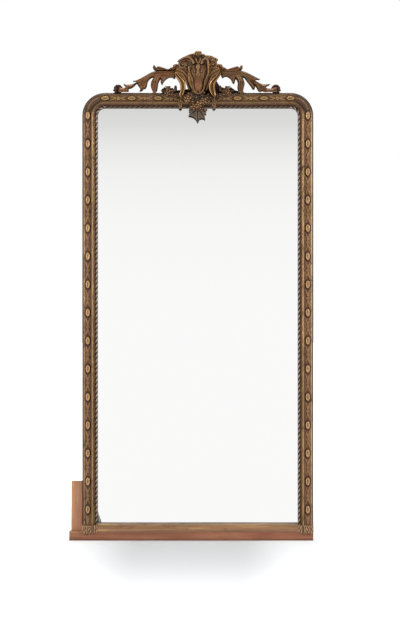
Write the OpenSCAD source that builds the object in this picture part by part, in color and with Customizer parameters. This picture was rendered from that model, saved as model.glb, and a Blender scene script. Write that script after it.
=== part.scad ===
// Tall giltwood wall mirror with a carved crest.
// X runs to the viewer's right, Z up, and the front faces -Y. The origin lies on the frame's middle line,
// at the plane of the mirror's face, on the floor. All sizes are in millimetres.

/* [Frame] */
// Width of the frame over its moulding
frame_w = 1000; // [900:10:1100]
// Height of the moulding's top edge above the floor
frame_h = 1937; // [1800:1:2050]
// Depth of the moulding in front of the mirror's face
member_d = 38; // [35:1:44]
// Outer radius of the two rounded top corners
corner_r = 99; // [92:1:115]
// Height of the sunk frieze bed above the mirror's face
bed = 24; // [20:1:26]
// Width of the frieze bed between its two grooves
frieze_w = 24.5; // [24.5:0.5:28]
// Width of the sunk bed of the rope
rope_bed_w = 11.5; // [10:0.5:14]

/* [Ornament] */
// Length of a cabochon along the frieze
cab_l = 37.5; // [32:0.5:44]
// Width of a cabochon
cab_w = 22; // [18:0.5:23]
// Height of a cabochon above the frieze bed
cab_rise = 9; // [6:0.5:10]
// Number of cabochons on a stile
cab_stile_n = 15; // [12:1:16]
// Number of cabochons on the top rail
cab_top_n = 8; // [6:2:8]
// Length of one turn of the rope
rope_pitch = 21.6; // [18:0.2:30]
// Height of the rope above its bed
rope_rise = 7.5; // [5:0.5:9]

/* [Foot] */
// Height of the base board
base_h = 39; // [30:1:50]
// Depth of the base board in front of the mirror's face
base_front = 28; // [20:1:30]
// Length by which the base board passes the frame at the left
base_left = 56; // [50:1:80]
// Height of the sill, from the base board to the sight edge
sill_h = 35.4; // [30:0.2:45]
// Top of the foot blocks above the base board
block_rise = 26; // [20:1:29]
// Depth by which a foot block hangs down over the base board
block_drop = 12.6; // [6:0.2:20]
// Width of the side board
side_w = 48; // [30:1:50]
// Length of the side board
side_l = 218; // [150:1:400]
// Thickness of the side board
side_t = 22; // [16:1:30]

/* [Back] */
// Width of a carcass stile and of the carcass top rail
carcass_w = 52; // [48:1:53]
// Depth of the carcass behind the moulding
carcass_t = 32; // [30:1:40]
// Height of the carcass bottom rail
bottom_rail_h = 21; // [18:0.5:24]
// Thickness of the mirror plate
glass_t = 5; // [3:0.5:6]
// Gap left round the mirror plate in its rebate
glass_gap = 2; // [1:0.5:4]
// Thickness of the back panels
panel_t = 8; // [5:0.5:9]
// Width of the rebate that holds the back panels
rebate_w = 12; // [9:0.5:14]
// Gap between two back panels
panel_gap = 1; // [0.5:0.5:3]
// Width of a cross rail
cross_w = 60; // [40:1:80]
// Thickness of a cross rail
cross_t = 14; // [12:0.5:15]
// Depth of a cross rail's stub tenon
tenon = 12; // [8:1:20]
// Diameter of the pegs in the corner laps
peg_d = 8; // [6:0.5:10]
// Shank diameter of the screws
screw_d = 4; // [3:0.5:5]
// Length of the panel screws
screw_l = 22; // [18:1:24]

/* [Hangers] */
// Height of the ring pivots above the floor
hanger_z = 1480; // [1300:10:1600]
// Width of a hanger strap
strap_w = 18; // [14:1:22]
// Length of a strap above its knuckle
strap_l = 62; // [50:1:80]
// Thickness of a strap
strap_t = 2.5; // [2:0.5:3]
// Wire diameter of a ring
ring_d = 5; // [4:0.5:6]
// Width of a ring between the middles of its wire
ring_w = 36; // [34:1:50]
// Radial clearance of the ring's bar in its knuckle
ring_play = 0.06; // [0.03:0.01:0.1]

/* [Crest] */
// Width of the crest over its outermost leaf tips
crest_w = 738; // [700:2:780]
// Height of the crest above the moulding
crest_h = 184; // [170:1:200]
// Thickness of the crest backboard
board_t = 14; // [10:1:18]
// Distance of the backboard's face behind the mirror's face
board_y = 4; // [2:1:8]
// Width of a brace batten
batten_w = 34; // [26:1:38]
// Length of a brace batten above the carcass
batten_l = 110; // [90:1:125]
// Glue line between the crest carving and the frame
glue = 0.2; // [0.1:0.05:0.4]

/* [Hidden] */

// The moulding across its width, from its outer edge to the sight edge
lip_w = 6;
bead_r = 2.75;
groove_w = 1.5;
fillet_w = 8;
cove_w = 8;
bead_at = lip_w + bead_r;
frieze_0 = lip_w + 2 * bead_r + 1;
frieze_mid = frieze_0 + frieze_w / 2;
fillet_0 = frieze_0 + frieze_w + groove_w;
cove_0 = fillet_0 + fillet_w;
rope_0 = cove_0 + cove_w;
member_w = rope_0 + rope_bed_w;
rope_bed = 8;
rope_gap = 0.25;
rope_mid = rope_0 + rope_bed_w / 2;

// Places in the frame
half_w = frame_w / 2;
corner_x = half_w - corner_r;
corner_z = frame_h - corner_r;
sight_x = half_w - member_w;
foot_z = base_h + block_rise;
inner_x = half_w - carcass_w;
inner_top = frame_h - carcass_w;
inner_z = base_h + bottom_rail_h;
run = corner_z - foot_z;

// Colours as the photograph shows them
gilt = "#a98458";
gilt_dark = "#74563c";
gilt_bright = "#d7b48c";
board_red = "#8f6048";
pine = "#b3835f";
old_brass = "#8d7440";

// A block between two opposite corners
module block(low, high) translate(low) cube(high - low);

// The same thing on the left, or mirrored to the right
module on_side(side) {
    if (side == "left") children();
    else mirror([1, 0, 0]) children();
}

// The flat shape of the frame behind the moulding, with its two rounded corners
module frame_outline() {
    translate([-half_w, base_h]) square([frame_w, corner_z - base_h]);
    translate([-corner_x, corner_z - 1]) square([2 * corner_x, corner_r + 1]);
    for (x = [-corner_x, corner_x]) translate([x, corner_z]) circle(r = corner_r, $fn = 96);
}

// Turns a flat shape drawn in X and Z into a slab from depth y0 to depth y1
module upright(y0, y1) translate([0, y1, 0]) rotate([90, 0, 0]) linear_extrude(y1 - y0) children();

// Section of the moulding: X runs from the outer edge to the sight edge, Y towards the room
module moulding_section() {
    difference() {
        union() {
            polygon([
                [0, 0], [rope_0, 0], [rope_0, bed - 4], [frieze_0, bed], [lip_w, bed], [lip_w, bed - 2], [0, bed - 10]
            ]);
            square([member_w, rope_bed]);
            translate([frieze_0 - 1, 0]) square([frieze_w + 2, bed]);
            translate([bead_at, bed]) circle(r = bead_r, $fn = 32);
            translate([fillet_0, 0]) square([cove_w + fillet_w, member_d - fillet_w / 2]);
            translate([fillet_0 + fillet_w / 2, member_d - fillet_w / 2]) circle(r = fillet_w / 2, $fn = 48);
        }
        translate([cove_0 + 14, member_d - fillet_w / 2]) circle(r = 14, $fn = 64);
        translate([fillet_0 - groove_w, bed - 2]) square([groove_w, 2 + bead_r]);
    }
}

module stile(side) color(gilt) on_side(side) translate([-half_w, 0, foot_z]) mirror([0, 1, 0])
    linear_extrude(run) moulding_section();

module top_rail() color(gilt) translate([-corner_x, 0, frame_h]) rotate([90, 0, 90]) mirror([0, 1, 0])
    rotate([0, 0, 90]) linear_extrude(2 * corner_x) moulding_section();

module corner(side) color(gilt) on_side(side) translate([-corner_x, 0, corner_z]) rotate([90, 0, 0])
    rotate([0, 0, 90]) rotate_extrude(angle = 90, $fn = 128) translate([corner_r, 0]) mirror([1, 0])
        moulding_section();

// A place on a line that runs up the left stile and round its corner: inset from the outer edge, length along
// the line that lies at inset mid, and the direction in degrees
function left_line(inset, s, mid) =
    s <= run ? [-half_w + inset, foot_z + s]
    : [-corner_x, corner_z] + (corner_r - inset) * [cos(left_turn(s, mid)), sin(left_turn(s, mid))];
function left_turn(s, mid) = s <= run ? 180 : 180 - (s - run) / (corner_r - mid) * 180 / PI;
function corner_run(mid) = PI / 2 * (corner_r - mid);

// The rope is a half-round strip. Its rings lie aslant, by turns on the ridge of a strand and in the groove
// between two strands, so a few faces give the twist.
rope_slant = 13;
rope_steps = 4;
rope_groove = 0.66;
rope_w = rope_bed_w - 2 * rope_gap;

// Points of one ring: across the strip from its outer to its inner edge
function rope_ring(line, s, lean, swell, top) = [
    for (j = [0:rope_steps])
        let (a = -cos(180 * j / rope_steps), p = line(rope_mid + a * rope_w / 2, s + lean * a / 2))
            [p[0], -rope_bed - rope_rise * swell * sin(180 * j / rope_steps), p[1]]
];

// Places of the rings: a plain ring at each end, and two for each turn between them
function rope_rings(line, length, lean) =
    let (turns = round((length - rope_slant) / rope_pitch), step = (length - rope_slant) / turns)
        concat(
            [rope_ring(line, 0, 0, rope_groove)],
            [
                for (k = [0:turns - 1], half = [0, 1])
                    rope_ring(line, rope_slant / 2 + (k + 0.3 + half * 0.5) * step, lean, half == 0 ? 1 : rope_groove)
            ],
            [rope_ring(line, length, 0, rope_groove)]
        );

module rope_strip(rings) {
    n = rope_steps + 1;
    last = (len(rings) - 1) * n;
    polyhedron(
        points = [for (r = rings) each r],
        faces = concat(
            [[for (j = [0:n - 1]) j]],
            [[for (j = [n - 1:-1:0]) last + j]],
            [
                for (i = [0:len(rings) - 2], j = [0:n - 1])
                    let (a = i * n + j, b = i * n + (j + 1) % n) each [[a, a + n, b], [b, a + n, b + n]]
            ]
        ),
        convexity = 4
    );
}

module rope_side(side) {
    lean = side == "left" ? rope_slant : -rope_slant;
    line = function(inset, s) left_line(inset, s, rope_mid);
    color(gilt_dark) on_side(side) rope_strip(rope_rings(line, run + corner_run(rope_mid), lean));
}

module rope_top() {
    line = function(inset, s) [s - corner_x, frame_h - inset];
    color(gilt_dark) rope_strip(rope_rings(line, 2 * corner_x, -rope_slant));
}

// Puts an ornament on the frieze bed: its own X runs along the frieze, its Z away from the bed
module on_left(s) {
    p = left_line(frieze_mid, s, frieze_mid);
    translate([p[0], -bed, p[1]]) rotate([0, 90 - left_turn(s, frieze_mid), 0]) rotate([90, 0, 0]) children();
}
module on_top(x) translate([x, -bed, frame_h - frieze_mid]) rotate([90, 0, 0]) children();

// The pattern along the frieze. The first cabochon stands above the foot block, the last at the corner.
cab_first = cab_l / 2 + 50;
cab_step = (run - cab_first) / (cab_stile_n - 1);
top_step = 2 * corner_x / (cab_top_n - 1);

// A flattened dome on the bed
cab_sink = 2;
module cabochon() intersection() {
    translate([0, 0, -cab_sink]) scale([cab_l / cab_w, 1, 2 * (cab_rise + cab_sink) / cab_w]) sphere(d = cab_w, $fn = 64);
    translate([-cab_l, -cab_w, 0]) cube([2 * cab_l, 2 * cab_w, 2 * cab_rise]);
}

module cabochons_side(side) color(gilt_bright) on_side(side)
    for (k = [0:cab_stile_n - 1]) on_left(cab_first + k * cab_step) cabochon();

module cabochons_top() color(gilt_bright)
    for (k = [0:cab_top_n - 1]) on_top(-corner_x + k * top_step) cabochon();

// A pointed leaf lying on the bed, from its stem at the origin along X
module leaf_shape(length, width) {
    r = (length * length + width * width) / (4 * width);
    intersection() {
        translate([length / 2, r - width / 2]) circle(r = r, $fn = 96);
        translate([length / 2, width / 2 - r]) circle(r = r, $fn = 96);
    }
}

// One length of leafage: five petals round a boss, and two pairs of leaves that point to the cabochons
leaf_rise = 4.5;
petal_r = 3.6;
floret_r = 6;
module leafage_unit(step) {
    reach = step / 2 - cab_l / 2 - 3;
    linear_extrude(leaf_rise) union() {
        for (way = [0, 180], lean = [-16, 16]) rotate(way + lean) leaf_shape(reach, 10);
        for (way = [0, 180]) rotate(way) leaf_shape(reach * 0.8, 7);
    }
    linear_extrude(leaf_rise + 2) for (k = [0:4]) rotate(90 + 72 * k) translate([floret_r, 0]) circle(r = petal_r, $fn = 32);
    cylinder(r = floret_r - 1.5, h = leaf_rise + 3.5, $fn = 32);
}

module leafage_side(side) color(gilt_dark) on_side(side) {
    for (k = [0:cab_stile_n - 2]) on_left(cab_first + (k + 0.5) * cab_step) leafage_unit(cab_step);
    on_left(run + corner_run(frieze_mid) / 2) leafage_unit(corner_run(frieze_mid) - 30);
    on_left(6) linear_extrude(leaf_rise) for (lean = [-18, 18]) rotate(lean) leaf_shape(cab_first - cab_l / 2 - 10, 10);
}

module leafage_top() color(gilt_dark)
    for (k = [0:cab_top_n - 2]) on_top(-corner_x + (k + 0.5) * top_step) leafage_unit(top_step);

// The foot: base board, side board, sill and foot blocks
block_front = member_d + 2;
block_w = 41;
module base_board() color(board_red)
    block([-half_w - base_left, -base_front, 0], [half_w, carcass_t, base_h]);

side_y = 8;
module side_board() color(pine) difference() {
    block([-half_w - side_w, side_y - side_t / 2, base_h], [-half_w, side_y + side_t / 2, base_h + side_l]);
    for (z = side_screw_z) translate([-half_w - side_w, side_y, z]) rotate([0, 90, 0]) screw_hole(side_screw_l);
}

side_screw_z = [base_h + 50, base_h + side_l - 50];
side_screw_l = side_w + 20;
module board_screws() color(old_brass)
    for (z = side_screw_z) translate([-half_w - side_w, side_y, z]) rotate([0, 90, 0]) screw(side_screw_l);

// The sill slopes up from its front to the sight edge, with a bead along the front
sill_front = base_front + 4;
module sill() color(gilt_bright) translate([-sight_x, 0, base_h]) rotate([90, 0, 90]) linear_extrude(2 * sight_x)
    mirror([1, 0]) union() {
        polygon([[0, 0], [sill_front, 0], [sill_front, sill_h * 0.5], [sill_front * 0.4, sill_h], [0, sill_h]]);
        translate([sill_front - 4, sill_h * 0.5]) circle(r = 4, $fn = 48);
    }

// A carved foot block laps over the front of the base board. Its inner part is narrower and lies lower.
// Reeds run up its face, between a fillet at the head and one at the foot.
reed_r = 3;
module foot_block(side) color(gilt) on_side(side) {
    low = base_h - block_drop;
    for (part = [[0, block_w, block_front, 4], [block_w, member_w, base_front + 2 * reed_r, 2]]) {
        block([-half_w + part[0], -part[2] + reed_r, low], [-half_w + part[1], -base_front, foot_z]);
        block([-half_w + part[0], -base_front, base_h], [-half_w + part[1], 0, foot_z]);
        step = (part[1] - part[0]) / part[3];
        for (k = [0:part[3] - 1]) translate([-half_w + part[0] + (k + 0.5) * step, -part[2] + reed_r, low])
            cylinder(r = reed_r, h = foot_z - low, $fn = 32);
        for (z = [low, foot_z - 5]) block([-half_w + part[0], -part[2], z], [-half_w + part[1], -part[2] + reed_r, z + 5]);
    }
}

// The carcass: the corners are halved together, the top rail in front and the stiles behind
lap_y = carcass_t / 2;
panel_y = carcass_t - panel_t;
cross_y = panel_y - cross_t;
panel_bottom = inner_z - rebate_w;
panel_top = inner_top + rebate_w;
panel_h = (panel_top - panel_bottom - 2 * panel_gap) / 3;
cross_z = [panel_bottom + panel_h + panel_gap / 2, panel_bottom + 2 * panel_h + 1.5 * panel_gap];

module panel_rebate() block([-inner_x - rebate_w, panel_y, panel_bottom], [inner_x + rebate_w, carcass_t + 1, panel_top]);

module carcass_stile(side) color(pine) on_side(side) difference() {
    intersection() {
        upright(0, carcass_t) frame_outline();
        block([-half_w, 0, base_h], [-inner_x, carcass_t, frame_h]);
    }
    block([-half_w - 1, -1, inner_top], [-inner_x + 1, lap_y, frame_h + 1]);
    block([-half_w - 1, -1, base_h - 1], [-inner_x + 1, lap_y, inner_z]);
    panel_rebate();
    for (z = cross_z) block([-inner_x - tenon, cross_y, z - cross_w / 2], [0, panel_y, z + cross_w / 2]);
    peg_holes();
    panel_screw_places() screw_hole(screw_l);
    hanger_screw_places() screw_hole(screw_l);
    if (side == "left")
        for (z = side_screw_z) translate([-half_w - side_w, side_y, z]) rotate([0, 90, 0]) screw_hole(side_screw_l);
}

module carcass_top_rail() color(pine) difference() {
    intersection() {
        upright(0, carcass_t) frame_outline();
        block([-half_w, 0, inner_top], [half_w, carcass_t, frame_h]);
    }
    for (side = ["left", "right"]) on_side(side)
        block([-half_w - 1, lap_y, inner_top - 1], [-inner_x, carcass_t + 1, frame_h + 1]);
    panel_rebate();
    peg_holes();
    panel_screw_places() screw_hole(screw_l);
    for (x = batten_x) block([x - batten_w / 2, batten_y, batten_foot], [x + batten_w / 2, carcass_t + 1, frame_h + 1]);
    batten_screw_places() screw_hole(batten_screw_l);
}

module carcass_bottom_rail() color(pine) difference() {
    block([-half_w, 0, base_h], [half_w, carcass_t, inner_z]);
    for (side = ["left", "right"]) on_side(side)
        block([-half_w - 1, lap_y, base_h - 1], [-inner_x, carcass_t + 1, inner_z + 1]);
    panel_rebate();
    peg_holes();
    panel_screw_places() screw_hole(screw_l);
}

module cross_rails() color(pine) difference() {
    for (z = cross_z) block([-inner_x - tenon, cross_y, z - cross_w / 2], [inner_x + tenon, panel_y, z + cross_w / 2]);
    panel_screw_places() screw_hole(screw_l);
}

// Pegs through the lapped corners
peg_places = [
    for (s = [-1, 1]) each [
        [s * (half_w - carcass_w * 0.68), inner_top + carcass_w * 0.38], [s * (half_w - carcass_w / 2), base_h + bottom_rail_h / 2]
    ]
];
module pegs_at() for (p = peg_places) translate([p[0], 0, p[1]]) rotate([-90, 0, 0]) children();
module peg_holes() translate([0, -1, 0]) pegs_at() cylinder(d = peg_d, h = carcass_t + 2, $fn = 32);
module joint_pegs() color(pine) pegs_at() cylinder(d = peg_d, h = carcass_t, $fn = 32);

// The mirror plate, what it stands on and what holds it
plate_z = inner_z + glass_gap;
plate_x = inner_x - glass_gap;
module mirror_plate() color("#dfe3e6") block([-plate_x, 0, plate_z], [plate_x, glass_t, inner_top - glass_gap]);

setting_l = 40;
module setting_blocks() color(gilt_dark)
    for (x = [-plate_x / 2, plate_x / 2]) block([x - setting_l / 2, 0, inner_z], [x + setting_l / 2, glass_t, plate_z]);

wedge_l = 40;
wedge_w = 12;
wedge_n = 7;
module wedge() linear_extrude(wedge_l, center = true)
    polygon([[0, 0], [wedge_w, 0], [wedge_w * 0.5, cross_y - glass_t + 6], [0, panel_y - glass_t]]);

// Height of the nth wedge, kept clear of the cross rails
function wedge_z(k) = inner_z + 90 + k * (inner_top - inner_z - 180) / (wedge_n - 1);
function clear_of_rails(z) = min([for (c = cross_z) abs(z - c)]) > (cross_w + wedge_l) / 2;
module glazing_wedges() color(pine) {
    for (side = ["left", "right"], k = [0:wedge_n - 1]) if (clear_of_rails(wedge_z(k)))
        on_side(side) translate([-inner_x, glass_t, wedge_z(k)]) wedge();
    for (x = [-inner_x * 0.6, 0, inner_x * 0.6]) {
        translate([x, glass_t, inner_top]) rotate([0, 90, 0]) wedge();
        translate([x, glass_t, inner_z]) rotate([0, -90, 0]) wedge();
    }
}

// Back panels, with screws along their edges
module back_panel(k) color(pine) difference() {
    z = panel_bottom + k * (panel_h + panel_gap);
    block([-inner_x - rebate_w, panel_y, z], [inner_x + rebate_w, carcass_t, z + panel_h]);
    panel_screw_places() screw_hole(screw_l);
}

panel_screw_in = rebate_w / 2;
module panel_screw_places() translate([0, carcass_t, 0]) {
    for (k = [0:2], t = [0.12, 0.5, 0.88], x = [-inner_x - panel_screw_in, inner_x + panel_screw_in])
        translate([x, 0, panel_bottom + k * (panel_h + panel_gap) + t * panel_h]) rotate([90, 0, 0]) children();
    for (x = [-inner_x / 2, 0, inner_x / 2]) {
        for (z = [panel_bottom + panel_screw_in, panel_top - panel_screw_in]) translate([x, 0, z]) rotate([90, 0, 0]) children();
        for (z = cross_z, step = [-1, 1]) translate([x, 0, z + step * cross_w / 4]) rotate([90, 0, 0]) children();
    }
}
module panel_screws() color(old_brass) panel_screw_places() screw(screw_l);

// A countersunk screw with a slot, pointing along Z from its head at the origin, and the hole it sits in
head_d = 2 * screw_d - 0.5;
head_h = screw_d * 0.55;
hole_play = 0.1;
module screw(length) difference() {
    union() {
        cylinder(d = screw_d, h = length, $fn = 24);
        cylinder(d1 = head_d, d2 = screw_d, h = head_h, $fn = 24);
    }
    translate([-head_d, -0.5, -1]) cube([2 * head_d, 1, 1.8]);
}
module screw_hole(length) {
    translate([0, 0, -1]) cylinder(d = screw_d + hole_play, h = length + 1.2, $fn = 24);
    cylinder(d1 = head_d + hole_play, d2 = screw_d + hole_play, h = head_h, $fn = 24);
    translate([0, 0, -1]) cylinder(d = head_d + hole_play, h = 1, $fn = 24);
}

// Hangers: a folded brass strap whose knuckle holds the bar of a D-ring
strap_x = half_w - carcass_w / 2 + 6;
knuckle_r = ring_d / 2 + ring_play + strap_t;
pivot_y = carcass_t + knuckle_r;
module hanger_at(side) on_side(side) translate([-strap_x, 0, hanger_z]) children();

strap_screws = [0.42, 0.85];
module hanger_screw_places() for (t = strap_screws)
    translate([-strap_x, carcass_t + strap_t, hanger_z + t * strap_l]) rotate([90, 0, 0]) children();

module hanger_strap(side) color(old_brass) difference() {
    hanger_at(side) union() {
        block([-strap_w / 2, carcass_t, 0], [strap_w / 2, carcass_t + strap_t, strap_l - strap_w / 2]);
        translate([0, carcass_t, strap_l - strap_w / 2]) rotate([-90, 0, 0]) cylinder(d = strap_w, h = strap_t, $fn = 48);
        translate([-strap_w / 2, pivot_y, 0]) rotate([0, 90, 0]) cylinder(r = knuckle_r, h = strap_w, $fn = 48);
    }
    hanger_at(side) translate([-strap_w, pivot_y, 0]) rotate([0, 90, 0])
        cylinder(r = ring_d / 2 + ring_play, h = 2 * strap_w, $fn = 48);
    on_side(side) hanger_screw_places() screw_hole(screw_l);
}

// The ring hangs straight down at rest
ring_drop = 8;
module hanger_ring(side) color(old_brass) hanger_at(side) translate([0, pivot_y, 0]) {
    r = ring_w / 2;
    translate([-r, 0, 0]) rotate([0, 90, 0]) cylinder(d = ring_d, h = ring_w, $fn = 48);
    for (x = [-r, r]) {
        translate([x, 0, 0]) sphere(d = ring_d, $fn = 48);
        translate([x, 0, -ring_drop]) cylinder(d = ring_d, h = ring_drop, $fn = 48);
    }
    translate([0, 0, -ring_drop]) rotate([90, 0, 0]) rotate([0, 0, 180])
        rotate_extrude(angle = 180, $fn = 96) translate([r, 0]) circle(d = ring_d, $fn = 48);
}
module hanger_screws() color(old_brass) for (side = ["left", "right"]) on_side(side) hanger_screw_places() screw(screw_l);

// The crest. Its places are given from the frame's middle line and from the moulding's top edge, for the
// drawn width and height, and stretch with the crest's own width and height.
drawn_w = 738;
drawn_h = 184;
function at(p) = [p[0] * crest_w / drawn_w, frame_h + p[1] * crest_h / drawn_h];

// Depth of the front of the carving at a height above the moulding. Below the moulding's top edge the carving
// laps over the front of the moulding.
lap_clear = member_d + glue;
function face_y(h, proud) = -(proud + (lap_clear - 16) * max(0, min(1, (50 - h) / 50)));

// Skin between two five-sided sections
function prism_faces(n) = concat(
    [[for (i = [0:n - 1]) i], [for (i = [n - 1:-1:0]) n + i]],
    [for (i = [0:n - 1]) [(i + 1) % n, i, n + i, n + (i + 1) % n]]
);
module skin(sections) for (i = [0:len(sections) - 2])
    hull() polyhedron(points = concat(sections[i], sections[i + 1]), faces = prism_faces(len(sections[i])));

// A curve through a start, a bend and an end
function bend(a, b, c, t) = (1 - t) * (1 - t) * a + 2 * t * (1 - t) * b + t * t * c;
function bend_dir(a, b, c, t) = let (d = 2 * (1 - t) * (b - a) + 2 * t * (c - b)) d / norm(d);

// Section of a leaf or rib at a place: flat back, two low edges and a raised middle
function rib_section(p, dir, w, back, edge, ridge) =
    let (n = [-dir[1], dir[0]] * w / 2)
        [
            [p[0] - n[0], back, p[1] - n[1]],
            [p[0] - n[0] * 0.9, edge, p[1] - n[1] * 0.9],
            [p[0], ridge, p[1]],
            [p[0] + n[0] * 0.9, edge, p[1] + n[1] * 0.9],
            [p[0] + n[0], back, p[1] + n[1]]
        ];

// A leaf lobe: it swells from its root, and its tip lifts off the board and rounds over
lobe_steps = 4;
function lobe_w(t) = (0.62 + 1.15 * t) * pow(1 - t, 0.65) + 0.1;
module lobe(root, mid, tip, w, proud = 22, seat = board_y, lift = 6) {
    a = at(root);
    b = at(mid);
    c = at(tip);
    skin([
        for (i = [0:lobe_steps])
            let (
                t = i / lobe_steps,
                h = bend(root, mid, tip, t)[1],
                back = min(seat, h < 0 ? -lap_clear : seat) - lift * t * t,
                front = seat > -lap_clear ? face_y(h, proud) : -lap_clear - proud
            )
                rib_section(
                    bend(a, b, c, t), bend_dir(a, b, c, t), w * lobe_w(t) * crest_w / drawn_w, back,
                    back + (front - back) * 0.45, front + 0.3 * (back - front) * t * t
                )
    ]);
}

// What the crest carving must leave free: the moulding, the carcass and all behind the top rail's front
module crest_room() block([-half_w, -lap_clear, frame_h - 200], [half_w, carcass_t + 20, frame_h + glue]);
module carved() difference() {
    children();
    crest_room();
}

// The backboard, shaped to stay behind the carving
module crest_board() color(gilt_dark) difference() {
    upright(board_y, board_y + board_t) polygon([for (p = [
        [-156, 0], [-130, 9], [-62, 16], [-34, 20], [-40, 60], [-60, 96], [-62, 125], [-40, 148], [0, 152],
        [40, 148], [62, 125], [60, 96], [52, 60], [78, 59], [97, 28.5], [121, 22], [147, 18], [177, 9], [216, 0]
    ]) at(p)]);
    batten_screw_places() screw_hole(batten_screw_l);
}

// Battens that brace the backboard, let into the back of the carcass top rail
batten_y = board_y + board_t;
batten_foot = panel_top + 2;
batten_x = [-24, 24];
batten_screw_l = 24;
module batten_screw_places() for (x = batten_x, z = [batten_foot + 10, frame_h - 8, frame_h + 30, frame_h + batten_l - 14])
    translate([x, carcass_t, z]) rotate([90, 0, 0]) children();
module crest_battens() color(pine) difference() {
    for (x = batten_x) block([x - batten_w / 2, batten_y, batten_foot], [x + batten_w / 2, carcass_t, frame_h + batten_l]);
    batten_screw_places() screw_hole(batten_screw_l);
}
module batten_screws() color(old_brass) batten_screw_places() screw(batten_screw_l);

// The cartouche: a low ground under the ears and the shell, and a raised body as a stack of arched sections
ground_y = -20;
ground_rows = [
    [50, 48], [66, 60], [84, 72], [98, 79], [121, 81], [138, 81], [150, 68], [160, 44], [167, 16]
];
body_top = 118;
body_rows = [
    [-14, 8, 6], [-6, 21, 10], [11, 33, 20], [33, 40, 26], [57, 46, 30], [80, 50, 32], [100, 48, 30],
    [body_top + 2, 42, 24]
];
function ground_section(h, w) =
    let (z = at([0, h])[1], x = at([w, 0])[0], back = board_y - glue)
        [[-x, back, z], [-x, ground_y * 0.5, z], [-x * 0.9, ground_y, z], [x * 0.9, ground_y, z], [x, ground_y * 0.5, z], [x, back, z]];
function arch_section(h, w, proud) =
    let (
        front = face_y(h, proud + 12),
        back = h < 0 ? -lap_clear : board_y - glue,
        depth = front - back,
        z = at([0, h])[1],
        x = at([w, 0])[0]
    )
        [
            for (q = [[-1, 0], [-1, 0.35], [-0.6, 0.85], [0, 1], [0.6, 0.85], [1, 0.35], [1, 0]])
                [q[0] * x, back + q[1] * depth, z]
        ];

// A raised rib through a list of places
module rib(places, w, proud, seat = board_y - 2) skin([
    for (i = [0:len(places) - 1])
        let (
            p = places[i],
            d = places[min(i + 1, len(places) - 1)] - places[max(i - 1, 0)],
            front = face_y(p[1], proud)
        )
            rib_section(at(p), d / norm(d), w, p[1] < 0 ? -lap_clear : seat, front + w * 0.35, front)
]);

// The smooth tongue panel lies in a bed cut into the cartouche
tongue_w = 34;
tongue_foot = [2, 12];
tongue_top = [2, 48];
tongue_back = -46;
module tongue_outline(grow) {
    r = tongue_w / 2 + grow;
    a = at(tongue_foot);
    b = at(tongue_top);
    for (p = [a, b]) translate(p) circle(r = r, $fn = 48);
    translate([a[0] - r, a[1]]) square([2 * r, b[1] - a[1]]);
}
tongue_dome = 76;
module tongue_panel() color(gilt_bright) intersection() {
    upright(tongue_back - 14, tongue_back) tongue_outline(0);
    translate([at(tongue_foot)[0], tongue_back - 14 + tongue_dome, at([0, 30])[1]]) sphere(r = tongue_dome, $fn = 96);
}

module cartouche() color(gilt) difference() {
    carved() {
        skin([for (r = ground_rows) ground_section(r[0], r[1])]);
        skin([for (r = body_rows) arch_section(r[0], r[1], r[2])]);
        for (s = [-1, 1]) {
            rib([for (p = [[40, 116], [43, 98], [40, 78], [33, 55], [30, 33], [24, 11], [12, -4], [1, -9]]) [p[0] * s + 2, p[1]]], 10, 52);
            rib([for (p = [[76, 92], [66, 78], [55, 62], [46, 44], [40, 26], [33, 9]]) [p[0] * s, p[1]]], 9, 30);
            lobe([14 * s, 66], [22 * s, 84], [14 * s, 104], 13, 54);
        }
    }
    upright(tongue_back - 40, tongue_back) tongue_outline(glue);
    block([-200, -100, at([0, body_top])[1]], [200, ground_y + glue, frame_h + 2 * crest_h]);
    for (side = ["left", "right"]) {
        c_scroll_form(side);
        ear_form(side);
    }
}

// The shell that crowns the cartouche: flutes that fan out from its middle, and arms that reach over the ears
module crest_shell() color(gilt) difference() {
    union() {
        for (k = [-2:2]) lobe([k * 7, 116], [k * 16, 144], [k * 22 + 2, 176 - k * k * 3], 30, 40 - abs(k) * 4, ground_y);
        for (s = [-1, 1]) {
            lobe([18 * s, 156], [60 * s, 174], [90 * s, 137], 22, 30);
            lobe([30 * s, 150], [56 * s, 160], [76 * s, 146], 18, 34, ground_y);
        }
        translate([at([2, 0])[0], -22, at([0, 173])[1]]) sphere(r = 11, $fn = 8);
    }
    block([-200, -100, frame_h], [200, 50, at([0, body_top])[1] + glue]);
    intersection() {
        skin([for (r = ground_rows) ground_section(r[0], r[1])]);
        block([-200, -100, frame_h], [200, 50, frame_h + 2 * crest_h]);
    }
    for (side = ["left", "right"]) ear_form(side);
}

// Ear volutes: a rib that winds in to a round eye
ear = [65, 121];
ear_turn = [for (i = [0:13]) let (a = 60 + i * 36, r = 19 - i * 1.05) ear * [[-1, 0], [0, 1]] + r * [cos(a), sin(a)]];
module ear_form(side) on_side(side) translate([-at(ear)[0], ground_y, at(ear)[1]]) rotate([90, 0, 0])
    cylinder(r = 24, h = 40, $fn = 24);
module ear_volute(side) color(gilt) on_side(side) {
    rib(ear_turn, 8.5, 42, ground_y);
    translate([-at(ear)[0], ground_y, at(ear)[1]]) rotate([90, 0, 0]) cylinder(r1 = 19, r2 = 14, h = 8, $fn = 16);
}

// C-scrolls: two lips with a hollow between them, round the open arc
arc_c = [-115, 24];
scroll_turn = [-46:12:86];
function scroll_at(a, off) = arc_c + (52 + 12 * pow(max(0, a) / 73, 2) + off) * [cos(a), sin(a)];
module c_scroll(side) color(gilt_bright) on_side(side) carved() {
    for (off = [-8, 8]) rib([for (a = scroll_turn) scroll_at(a, off)], 9, 34);
    rib([for (a = scroll_turn) scroll_at(a, 0)], 16, 20);
}

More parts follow.
